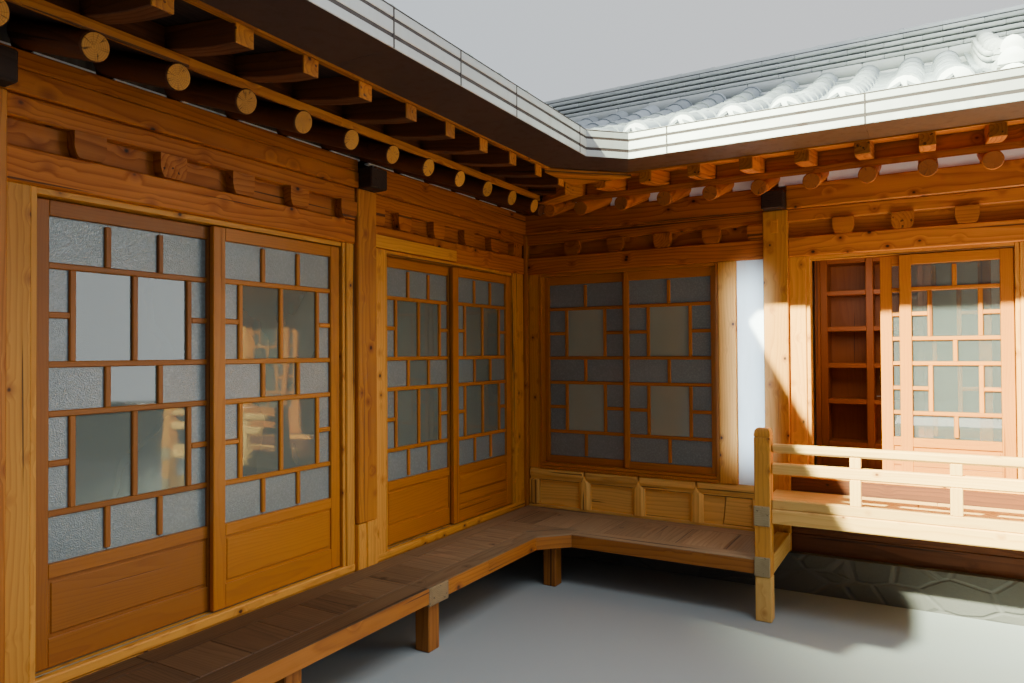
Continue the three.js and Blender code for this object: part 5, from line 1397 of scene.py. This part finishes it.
        # the west roof boards take the dark beam wood as painted shade
        housePiece(f"roof_boards_{wing}", boards, "darkBeam" if west else "friezePine")
        # plaster between the rafters, standing on the purlin; on the west only a thin white strip at its foot, with
        # plaster in painted shade above it
        p = r["plaster"]
        front, back, low = p["front"], p["back"], p["foot"]
        edges = [margin + 0.02] + [s for s in spots if s > 0.3] + [end - 0.06]
        for a, b in zip(edges, edges[1:]):
            if b - a > 0.16:
                high = boardHeight(p["at"]) - r["board"] - 0.002
                edge = p["west"] if west else high
                a, b, foot = a + p["gap"], b - p["gap"], edge + 0.0005
                section = [(front, low), (back, low), (back, edge), (front + 0.004, edge)]
                profileBeam(infill, wing, section, a, b, margin)
                if west:
                    section = [(front + 0.006, foot), (back, foot), (back, high), (front + 0.010, high)]
                    profileBeam(paintedShadeInfill, wing, section, a, b, margin)
        housePiece(f"eave_plaster_{wing}", infill, whitePlaster)
        if west:
            housePiece("eave_plaster_shade", paintedShadeInfill, paintedShadePlaster)


def addDiagonalRafters():
    # the valley rafter carries the inner corner, the hip rafter the outer one
    r = roof
    for name, angle, end, drop in (("valley_rafter", -45, 2.265, 0.004), ("hip_rafter", 135, 2.305, 0.022)):
        stack = newStack()
        outline = [(0.7, boardHeight(0.7) - 0.220), (end, flyingBottom(end) - 0.030), (end, upperTop(end) - drop),
                   (1.145, upperTop(1.145) - drop), (1.145, boardHeight(1.145) - drop), (0.7, boardHeight(0.7) - drop)]
        section = [(out * math.sqrt(2), z) for out, z in outline]
        small = inset(section, 0.005)
        turn = Matrix.Translation((-r["ridgeLine"], r["ridgeLine"], 0)) @ Matrix.Rotation(math.radians(angle), 4, "Z")
        half = r["diagonalHalf"]
        stations = ((-half, small), (0.005 - half, section), (half - 0.005, section), (half, small))
        loops = [[turn @ Vector((a, y, z)) for a, z in loop] for y, loop in stations]
        loft(stack, loops, turn.to_3x3() @ Vector((1, 0, -0.1)))
        housePiece(name + "_timber", stack, "honeyPine", name)


addRafters()
addDiagonalRafters()


bargeBoards = {"barge_board_south": ("west", 5.1603, 5.195), "barge_board_east": ("north", 4.6153, 4.650)}


def addBargeBoards():
    outs = [k * 2.435 / 8 for k in range(9)]
    for name, (wing, a, b) in bargeBoards.items():
        stack = newStack()
        for side in (1, -1):
            low = [(depthAt(side, out), max(boardHeight(out) - 0.2, upperTop(out) - 0.175)) for out in outs]
            high = [(depthAt(side, out), bedHeight(out) - 0.070) for out in outs]
            if side > 0:
                low[0] = (low[0][0] - 0.0005, low[0][1])
                high[0] = (high[0][0] - 0.0005, high[0][1])
            easedBeam(stack, wing, low + high[::-1], a, b, place(wing, 0, 1, 0.3 * side), edge=0.005)
        housePiece(name + "_timber", stack, "honeyPine", name)


addBargeBoards()
print("rafters raised")

# Gutter: pale folded metal with brown grooves darkened as painted shade, in lengths, and the brown sheet behind it,
# lighter on the north as painted light

gutter = {
    "front": 1.350, "chamfer": 0.220, "width": 0.1697, "bottom": 3.240, "top": 3.430, "south": -5.150, "east": 4.605,
    "joints": (-3.613, -3.091, -2.528, -1.674), "jointsNorth": (1.844, 3.052),
    "soffitBack": 0.9903,
    "bands": ((3.2405, 3.2835), (3.3035, 3.3600), (3.3770, 3.4180)),
}


def alongGutter(end, t):
    front, cut = gutter["front"], gutter["chamfer"]
    turn = t * (math.sqrt(2) - 1)
    kind, value = end
    if kind == "y":
        return front - t, value
    if kind == "x":
        return value, -front + t
    return ((front - t, -front - cut + turn), (front + cut - turn, -front + t))[value]


def gutterLength(stack, section, start, end, tone=None):
    # a closed section of (t, z) points, t inwards from the front
    loops = [[(*alongGutter(which, t), z) for t, z in section] for which in (start, end)]
    loft(stack, loops, Vector(loops[1][0]) - Vector(loops[0][0]), tone)


def gutterStops():
    g = gutter
    west = [("y", g["south"])] + [("y", y) for y in g["joints"]] + [("corner", 0)]
    north = [("corner", 1)] + [("x", x) for x in g["jointsNorth"]] + [("x", g["east"])]
    return list(zip(west, west[1:])) + [(("corner", 0), ("corner", 1))] + list(zip(north, north[1:]))


def shortened(start, end, by):
    move = lambda stop, amount: (stop[0], stop[1] + amount) if stop[0] != "corner" else stop
    return move(start, by), move(end, -by)


def addGutter():
    g = gutter
    pale, grooves = newStack(), newStack()
    bottom, top, width, inside = g["bottom"], g["top"], g["width"], g["bottom"] + 0.012
    # the front with its three raised bands, then over the rim, along the trough and up the back
    body = []
    for low, high in g["bands"]:
        body += [(0.0065, low - 0.0005), (0.0015, low), (0.0, low + 0.002),
                 (0.0, high - 0.002), (0.0015, high), (0.0065, high + 0.0005)]
    body = [(0.0015, bottom)] + body[1:-1] + [
        (0.0065, top - 0.001), (0.0125, top), (0.0145, top - 0.001), (0.0145, inside), (width - 0.012, inside),
        (width - 0.012, top), (width, top), (width, bottom)]
    strips = []
    for (_, high), (low, _) in zip(g["bands"], g["bands"][1:]):
        strips.append([(0.0025, high + 0.0003), (0.0025, low - 0.0003), (0.007, low - 0.0003), (0.007, high + 0.0003)])
    lip = [(-0.001, 3.4185), (-0.001, 3.4235), (0.002, 3.4262), (0.011, 3.4262), (0.011, 3.4185)]
    seal = [(-0.0008, bottom + 0.001), (-0.0008, 3.4175), (0.002, 3.4175), (0.002, bottom + 0.001)]
    for start, end in gutterStops():
        tone = dice.random()
        if start[0] != "corner" and start[1] != g["south"]:
            gutterLength(grooves, seal, (start[0], start[1] - 0.005), (start[0], start[1] + 0.005), tone)
        gutterLength(pale, body, *shortened(start, end, 0.0011), tone)
        for strip in strips:
            gutterLength(grooves, strip, start, end, tone)
        gutterLength(grooves, lip, start, end, tone)
    housePiece("gutter_sheet", pale, gutterPaint, "gutter")
    housePiece("gutter_grooves", grooves, groovePaintAndPaintedShade)
    sheet, paintedLightSheet = newStack(), newStack()
    low, high = width + 0.0003, g["front"] - g["soffitBack"]
    z0, z1 = bottom + 0.001, bottom + 0.015
    outline = [(low, z0), (low, z1), (high, z1), (high, z0 + 0.004), (high - 0.004, z0)]
    under = [(0.005, bottom - 0.0015), (0.005, bottom - 0.0002), (width, bottom - 0.0002), (width, bottom - 0.0015)]
    # the north soffit lengths get the lighter paint as painted light
    for start, end in gutterStops():
        for section in (outline, under):
            gutterLength(paintedLightSheet if end[0] == "x" else sheet, section, *shortened(start, end, 0.0006))
    housePiece("eave_soffit_sheet", sheet, soffitPaint, "eave_soffit")
    housePiece("eave_soffit_north", paintedLightSheet, northSoffitPaintedLight)


addGutter()
print("gutter hung")

# Geometry Nodes: one piece set on every guide point, turned and sized by the point


def scatterTree():
    tree = bpy.data.node_groups.new("setOnPoints", "GeometryNodeTree")
    for name, kind in (("Points", "Geometry"), ("Piece", "Object"), ("Turn Jitter", "Float"), ("Size Jitter", "Float"),
                       ("Seed", "Int"), ("Material", "Material")):
        tree.interface.new_socket(name, in_out="INPUT", socket_type="NodeSocket" + kind)
    tree.interface.new_socket("Pieces", in_out="OUTPUT", socket_type="NodeSocketGeometry")
    sockets = node(tree, "NodeGroupInput").socket.node.outputs
    given = {socket.name: Wire(tree, socket) for socket in sockets}

    def named(name):
        return node(tree, "GeometryNodeInputNamedAttribute", {"Name": name}, "Attribute", data_type="FLOAT_VECTOR")

    def scaled(vector, factor):
        return node(tree, "ShaderNodeVectorMath", {0: vector, "Scale": factor}, operation="SCALE")

    def chance(kind, first, low, high, output):
        # the sockets of the limits and of the result differ with the kind of number
        limits = {first: low, first + 1: high, "Seed": given["Seed"]}
        return node(tree, "FunctionNodeRandomValue", limits, output, data_type=kind)

    lean = scaled(chance("FLOAT_VECTOR", 0, (-1, -1, -1), (1, 1, 1), 0), given["Turn Jitter"])
    swell = 1.0 + chance("FLOAT", 2, -1.0, 1.0, 1) * given["Size Jitter"]
    piece = node(tree, "GeometryNodeObjectInfo", {"Object": given["Piece"]}, "Geometry", transform_space="ORIGINAL")
    spread = node(tree, "GeometryNodeInstanceOnPoints", {
        "Points": given["Points"], "Instance": piece, "Rotation": vectorCalc("ADD", named("turn"), lean),
        "Scale": scaled(named("size"), swell)})
    tone = {"Geometry": spread, "Name": "tone", "Value": chance("FLOAT", 2, 0.0, 1.0, 1)}
    toned = node(tree, "GeometryNodeStoreNamedAttribute", tone, data_type="FLOAT", domain="INSTANCE")
    whole = node(tree, "GeometryNodeRealizeInstances", {0: toned})
    dressed = node(tree, "GeometryNodeSetMaterial", {"Geometry": whole, "Material": given["Material"]})
    node(tree, "NodeGroupOutput", {0: dressed})
    return tree


setOnPoints = scatterTree()


def scatter(name, spots, pieceMesh, material, turnJitter, sizeJitter, seed, replaced=()):
    # spots are (place, turn, size); the result is one plain mesh
    guide = bpy.data.meshes.new(name + "Guide")
    guide.from_pydata([spot[0] for spot in spots], [], [])
    for column, label in ((1, "turn"), (2, "size")):
        values = guide.attributes.new(label, "FLOAT_VECTOR", "POINT")
        values.data.foreach_set("vector", np.array([spot[column] for spot in spots], np.float32).ravel())
    holder = bpy.data.objects.new(name + "Guide", guide)
    source = bpy.data.objects.new(name + "Piece", pieceMesh)
    for item in (holder, source):
        bpy.context.scene.collection.objects.link(item)
    modifier = holder.modifiers.new("setOnPoints", "NODES")
    modifier.node_group = setOnPoints
    values = {"Piece": source, "Turn Jitter": turnJitter, "Size Jitter": sizeJitter, "Seed": seed, "Material": material}
    for item in setOnPoints.interface.items_tree:
        if item.in_out == "INPUT" and item.name in values:
            modifier[item.identifier] = values[item.name]
    graph = bpy.context.evaluated_depsgraph_get()
    graph.update()
    mesh = bpy.data.meshes.new_from_object(holder.evaluated_get(graph), depsgraph=graph)
    mesh.name = name
    holder.modifiers.remove(modifier)
    for item in (holder, source):
        bpy.data.objects.remove(item)
    finishPiece(name, mesh, None, replaced)


def plainMesh(name, points, faces):
    mesh = bpy.data.meshes.new(name)
    mesh.from_pydata(points, [], faces)
    mesh.polygons.foreach_set("use_smooth", [True] * len(mesh.polygons))
    mesh.update()
    mesh.set_sharp_from_angle(angle=math.radians(38))
    # all faces outwards
    form = bmesh.new()
    form.from_mesh(mesh)
    bmesh.ops.recalc_face_normals(form, faces=form.faces)
    form.to_mesh(mesh)
    form.free()
    return mesh


# Tile shapes lie along X with their lower end at +X


def archMesh(name, radius, wall, length, sides=9, taper=0.93):
    # shell of a half round tile with a thicker lower rim
    rings = [(-length / 2, radius * taper, radius * taper - wall), (length * 0.36, radius * 0.985, radius - wall),
             (length * 0.37, radius * 1.035, radius - wall), (length / 2, radius * 1.035, radius - wall)]
    points, faces = [], []
    for x, *sizes in rings:
        for size in sizes:
            for k in range(sides):
                angle = math.pi * k / (sides - 1)
                points.append((x, -size * math.cos(angle), size * math.sin(angle)))
    span, last = sides * 2, (len(rings) - 1) * sides * 2
    for a in range(0, last, span):
        b = a + span
        for k in range(sides - 1):
            faces.append([a + k, b + k, b + k + 1, a + k + 1])
            faces.append([a + sides + k + 1, b + sides + k + 1, b + sides + k, a + sides + k])
        faces.append([a, a + sides, b + sides, b])
        faces.append([b + sides - 1, b + span - 1, a + span - 1, a + sides - 1])
    for a, way in ((0, 1), (last, -1)):
        faces += [[a + k, a + k + 1, a + sides + k + 1, a + sides + k][::way] for k in range(sides - 1)]
    return plainMesh(name, points, faces)


def panMesh(name, width, length, thick, sag, n=7):
    across = [-width / 2 + width * k / (n - 1) for k in range(n)]
    points = [(x, y, sag * (2 * y / width) ** 2 + lift)
              for x in (-length / 2, length / 2) for lift in (0.0, thick) for y in across]
    faces = [[0, 2 * n, 3 * n, n], [n - 1, 2 * n - 1, 4 * n - 1, 3 * n - 1]]
    for k in range(n - 1):
        faces += [[k, k + 1, 2 * n + k + 1, 2 * n + k], [n + k + 1, n + k, 3 * n + k, 3 * n + k + 1],
                  [k + 1, k, n + k, n + k + 1], [2 * n + k, 2 * n + k + 1, 3 * n + k + 1, 3 * n + k]]
    return plainMesh(name, points, faces)


def domeMesh(name, radius, depth, sides=9):
    # mortar that closes the lower end of a tile row, bulged a little
    points = [(depth * 0.9, 0, radius * 0.42)]
    for x, size in ((depth * 0.75, 0.62), (depth * 0.35, 0.97), (-depth, 0.97)):
        for k in range(sides):
            angle = math.pi * k / (sides - 1)
            low = 0.012 if k in (0, sides - 1) else 0.0
            points.append((x, -radius * size * math.cos(angle), radius * size * math.sin(angle) - low))
    points.append((-depth, 0, radius * 0.3))
    last = len(points) - 1
    ring = lambda r, k: 1 + r * sides + k % sides
    faces = []
    for k in range(sides):
        faces += [[0, ring(0, k), ring(0, k + 1)], [last, ring(2, k + 1), ring(2, k)]]
        faces += [[ring(r, k), ring(r + 1, k), ring(r + 1, k + 1), ring(r, k + 1)] for r in range(2)]
    return plainMesh(name, points, faces)


def rollMesh(name, radius, length, sides=12, edge=0.006):
    half = length / 2
    rings = ((-half, radius * 0.9), (edge - half, radius), (half - edge, radius), (half, radius * 0.9))
    angles = [2 * math.pi * k / sides for k in range(sides)]
    points = [(x, size * math.cos(angle), size * math.sin(angle)) for x, size in rings for angle in angles]
    return plainMesh(name, points, tubeFaces(sides, 3))


def slabMesh(name, length, width, thick, edge=0.004):
    points = []
    for x, shrink in ((-length / 2, edge), (edge - length / 2, 0), (length / 2 - edge, 0), (length / 2, edge)):
        half = width / 2 - shrink
        outline = ((half, thick * 0.75), (half - 0.006, thick), (0.006 - half, thick), (-half, thick * 0.75))
        outline = ((-half, thick * 0.25), (edge - half, 0), (half - edge, 0), (half, thick * 0.25)) + outline
        points += [(x, y, z) for y, z in outline]
    return plainMesh(name, points, tubeFaces(8, 3))


tiles = {
    # rows of round tiles at even steps, and the odd ones beyond the descending ridges
    "rows": {"west": (4.410, -0.330, 25, (5.060,)), "north": (-3.547, 0.340, 21, (3.513, 4.080, 4.420))},
    "radius": 0.101, "wall": 0.017, "length": 0.300, "panStep": 0.150, "panWidth": 0.300, "lift": 0.020,
    "panThick": 0.018, "panSag": 0.045, "panLift": 0.006, "panTilt": 0.085, "wayWidth": 0.335,
    "eaveInset": 0.030, "plugDepth": 0.040,
}
yaws = {("west", 1): 0.0, ("west", -1): math.pi, ("north", 1): -math.pi / 2, ("north", -1): math.pi / 2}


def pitchAt(out, scale=1.0):
    return math.atan((roof["slope"] - 2 * roof["curve"] * out) / scale)


def tileRow(side, s, half, step, start, end):
    # centres of the tiles of one row as (out, length share), cut short at the diagonal
    if side > 0:
        end = min(end, roof["ridgeLine"] + s - half - 0.05)
    else:
        start = max(start, -s - roof["ridgeLine"] + half + 0.06)
    found = []
    while end > start + 0.02:
        far = step * math.cos(pitchAt(end))
        high = max(end - far, start)
        share = (end - high) / far
        if share > 0.15:
            found.append(((end + high) / 2, share))
        end = high
    return found


def addTiles():
    t = tiles
    reach = roof["eave"] - t["eaveInset"]
    for wing, end in wingEnds.items():
        convex, pans, domes = [], [], []
        first, step, count, odd = t["rows"][wing]
        spots = sorted([first + step * k for k in range(count)] + list(odd))
        for side in (1, -1):
            yaw = yaws[wing, side]
            for s in spots:
                if side > 0 and s < -1.2:
                    continue
                for out, share in tileRow(side, s, t["radius"] * 0.5, t["length"], 0.13, reach):
                    at = place(wing, s, depthAt(side, out), bedHeight(out) + t["lift"])
                    convex.append((at, (0, pitchAt(out), yaw), (share * 1.03, 1, 1)))
                # a plug where the row comes down to the eave, on either side of the diagonal
                if roof["ridgeLine"] + s - side * 0.1 > side * reach:
                    at = place(wing, s, depthAt(side, reach - 0.004), bedHeight(reach) + t["lift"] - 0.006)
                    domes.append((at, (0, pitchAt(reach), yaw), (1, 1, 1)))
            # flat tiles fill the ways between the rows
            edges = [-3.9] + spots + [end + 0.02]
            for low, high in zip(edges, edges[1:]):
                middle, wide = (low + high) / 2, high - low
                if low < -3.8 or side > 0 and middle < -1.2 or wide < 0.1:
                    continue
                for out, share in tileRow(side, middle, 0.0, t["panStep"], 0.10, roof["eave"] - 0.005):
                    at = place(wing, middle, depthAt(side, out), bedHeight(out) + t["panLift"])
                    size = (max(share, 0.5), min(1.0, wide / t["wayWidth"]), 1)
                    pans.append((at, (0, pitchAt(out) - t["panTilt"], yaw), size))
        arch = archMesh("convexTile", t["radius"], t["wall"], t["length"])
        pan = panMesh("panTile", t["panWidth"], t["panStep"] * 1.45, t["panThick"], t["panSag"])
        dome = domeMesh("mortarPlug", t["radius"] * 0.97, t["plugDepth"])
        scatter(f"tiles_{wing}_convex", convex, arch, roofTile, 0.012, 0.015, 3)
        scatter(f"tiles_{wing}_pan", pans, pan, roofTile, 0.012, 0.01, 5)
        scatter(f"tiles_{wing}_plugs", domes, dome, mortarWhite, 0.03, 0.03, 8)
        paint(f"roof_tiles_{wing}", roofTile)


addTiles()
print("tiles laid")

# Ridges: two courses of round tiles, thin slabs and a cap, on a mortar core

ridge = {
    "half": 0.115, "roll": 0.061, "rollLength": 0.332, "rollHeights": (4.345, 4.463), "rollOut": (0.125, 0.083),
    "slabs": 4, "slabFrom": 4.526, "slabStep": 0.052, "slabThick": 0.032, "slabLength": 0.30,
    "capRadius": 0.062, "capWall": 0.014, "core": (0.080, 4.34, 4.737), "endHeights": (4.433, 4.570),
    "endRadius": 0.072, "endDepth": 0.030,
    # down the slopes: rolls, slabs and caps over the bed of the tiles, and the mortar core
    "slopeRoll": (0.055, 0.062), "slopeSlabs": (0.112, 0.146), "slopeCap": 0.178, "slopeCore": (0.075, -0.05, 0.150),
    "slopeLength": 0.30, "slopeEnds": ((0.002, 1.0), (0.095, 0.9), (0.166, 0.74)),
}
# start, direction down the slope, yaw, how far out from the ridge line, and metres for each metre out
slopeRidges = (
    ((-1.295, -4.740), (1, 0), 0.0, 2.385, 1.0), ((-1.295, -4.740), (-1, 0), math.pi, 2.385, 1.0),
    ((3.795, 1.295), (0, -1), -math.pi / 2, 2.385, 1.0), ((3.795, 1.295), (0, 1), math.pi / 2, 2.385, 1.0),
    ((-1.295, 1.295), (-1, 1), math.radians(135), 2.355, math.sqrt(2)),
)


def straightRidge(spots, wing, s0, s1):
    r = ridge
    turn = (0, 0, yaws[wing, 1] + math.pi / 2)
    middle, length = roof["ridgeLine"], abs(s1 - s0)
    count = round(length / r["rollLength"])
    share = length / count / r["rollLength"]
    capHeight = r["slabFrom"] + r["slabs"] * r["slabStep"] + 0.001
    for k in range(count):
        s = s0 + (s1 - s0) * (k + 0.5) / count
        for out, z in zip(r["rollOut"], r["rollHeights"]):
            for side in (1, -1):
                spots["rolls"].append((place(wing, s, middle - side * out, z), turn, (share * 0.992, 1, 1)))
        spots["caps"].append((place(wing, s, middle, capHeight), turn, (share, 1, 1)))
    count = round(length / r["slabLength"])
    for layer in range(r["slabs"]):
        shift = 0.5 if layer % 2 else 0.0
        for k in range(count + (layer % 2)):
            a = max(k - shift, 0) * length / count
            b = min(k + 1 - shift, count) * length / count
            s = s0 + math.copysign((a + b) / 2, s1 - s0)
            size = ((b - a) / r["slabLength"] * 0.99, 1 - 0.012 * layer, 1)
            spots["slabs"].append((place(wing, s, middle, r["slabFrom"] + layer * r["slabStep"]), turn, size))


def slopeRidge(spots, core, base, direction, yaw, end, scale):
    # down a slope from the ridge: a mortar core, rolls, two slabs and a cap of round tiles
    r = ridge
    forward = Vector((*direction, 0))
    aside = Vector((-direction[1], direction[0], 0)).normalized()
    bed = lambda out, lift: Vector((*base, bedHeight(out) + lift)) + forward * out
    count = round(end * scale / r["slopeLength"])
    for k in range(count):
        out = end * (k + 0.5) / count
        turn = (0, pitchAt(out, scale), yaw)
        length = end / count * scale / math.cos(turn[1])
        for side in (1, -1):
            at = bed(out, r["slopeRoll"][1]) + aside * side * r["slopeRoll"][0]
            spots["rolls"].append((tuple(at), turn, (length / r["rollLength"], 0.75, 0.9)))
        for layer, lift in enumerate(r["slopeSlabs"]):
            size = (length / r["slabLength"] * 1.01, 0.84 - 0.05 * layer, 0.8)
            spots["slabs"].append((tuple(bed(out, lift)), turn, size))
        spots["caps"].append((tuple(bed(out, r["slopeCap"])), turn, (length / r["rollLength"] * 1.02, 0.98, 0.84)))
    half, low, high = r["slopeCore"]
    outline = ((-half, low), (half, low), (half, high), (-half, high))
    loops = [[bed(end * k / 6, lift) + aside * wide for wide, lift in outline] for k in range(7)]
    loft(core, loops, (*direction, -0.3))
    for lift, wide in r["slopeEnds"]:
        spots["ends"].append((tuple(bed(end, lift)), (0, pitchAt(end, scale), yaw), (1.2, wide * 1.15, 1.05)))


def addRidges():
    r = ridge
    middle = roof["ridgeLine"]
    spots = {"rolls": [], "slabs": [], "caps": [], "ends": []}
    core = newStack()
    straightRidge(spots, "west", 0.09 - middle, 5.100)
    straightRidge(spots, "north", 0.09 - middle, 4.555)
    for wing, s0, s1 in (("west", -middle - 0.08, 5.095), ("north", 0.0805 - middle, 4.550)):
        half, low, high = r["core"]
        board(core, wing, s0, s1, middle - half, middle + half, low, high, bevel=0.004)
        # closing tiles on the gable end
        turn = (0, 0, yaws[wing, 1] + (math.pi / 2 if wing == "north" else -math.pi / 2))
        spots["ends"] += [(place(wing, s1 + 0.012, middle, z), turn, (1, 1.1, 1.25)) for z in r["endHeights"]]
    for run in slopeRidges:
        slopeRidge(spots, core, *run)
    roll = rollMesh("ridgeRoll", r["roll"], r["rollLength"])
    slab = slabMesh("ridgeSlab", r["slabLength"], 2 * r["half"], r["slabThick"])
    cap = archMesh("ridgeCap", r["capRadius"], r["capWall"], r["rollLength"], taper=0.95)
    end = domeMesh("ridgeEnd", r["endRadius"], r["endDepth"])
    scatter("ridge_rolls", spots["rolls"], roll, ridgeTile, 0.006, 0.012, 11, "roof_ridges")
    scatter("ridge_slabs", spots["slabs"], slab, ridgeTile, 0.004, 0.006, 12)
    scatter("ridge_caps", spots["caps"], cap, ridgeTile, 0.008, 0.012, 13)
    scatter("ridge_ends", spots["ends"], end, mortarWhite, 0.02, 0.02, 14)
    housePiece("ridge_core", core, mortarGrey)


addRidges()
print("ridges built")

# Masonry, floors of the rooms and the studio floor

paint("stone_plinth", masonry)
paint("room_floor", wood["apronWood"])
paint("deck_room_floor", wood["apronWood"])

studioFloor = {"reach": 24, "colour": (0.30, 0.315, 0.31), "rough": 0.9}


def addGround():
    reach = studioFloor["reach"]
    ground = bpy.data.meshes.new("studioFloor")
    corners = [(-reach, -reach, 0), (reach, -reach, 0), (reach, reach, 0), (-reach, reach, 0)]
    ground.from_pydata(corners, [], [[0, 1, 2, 3]])
    floor = bpy.data.objects.new("studioFloor", ground)
    bpy.context.scene.collection.objects.link(floor)
    ground.materials.append(dress(newMaterial("paleFloor"), studioFloor["colour"], studioFloor["rough"]))


addGround()
print("house complete")
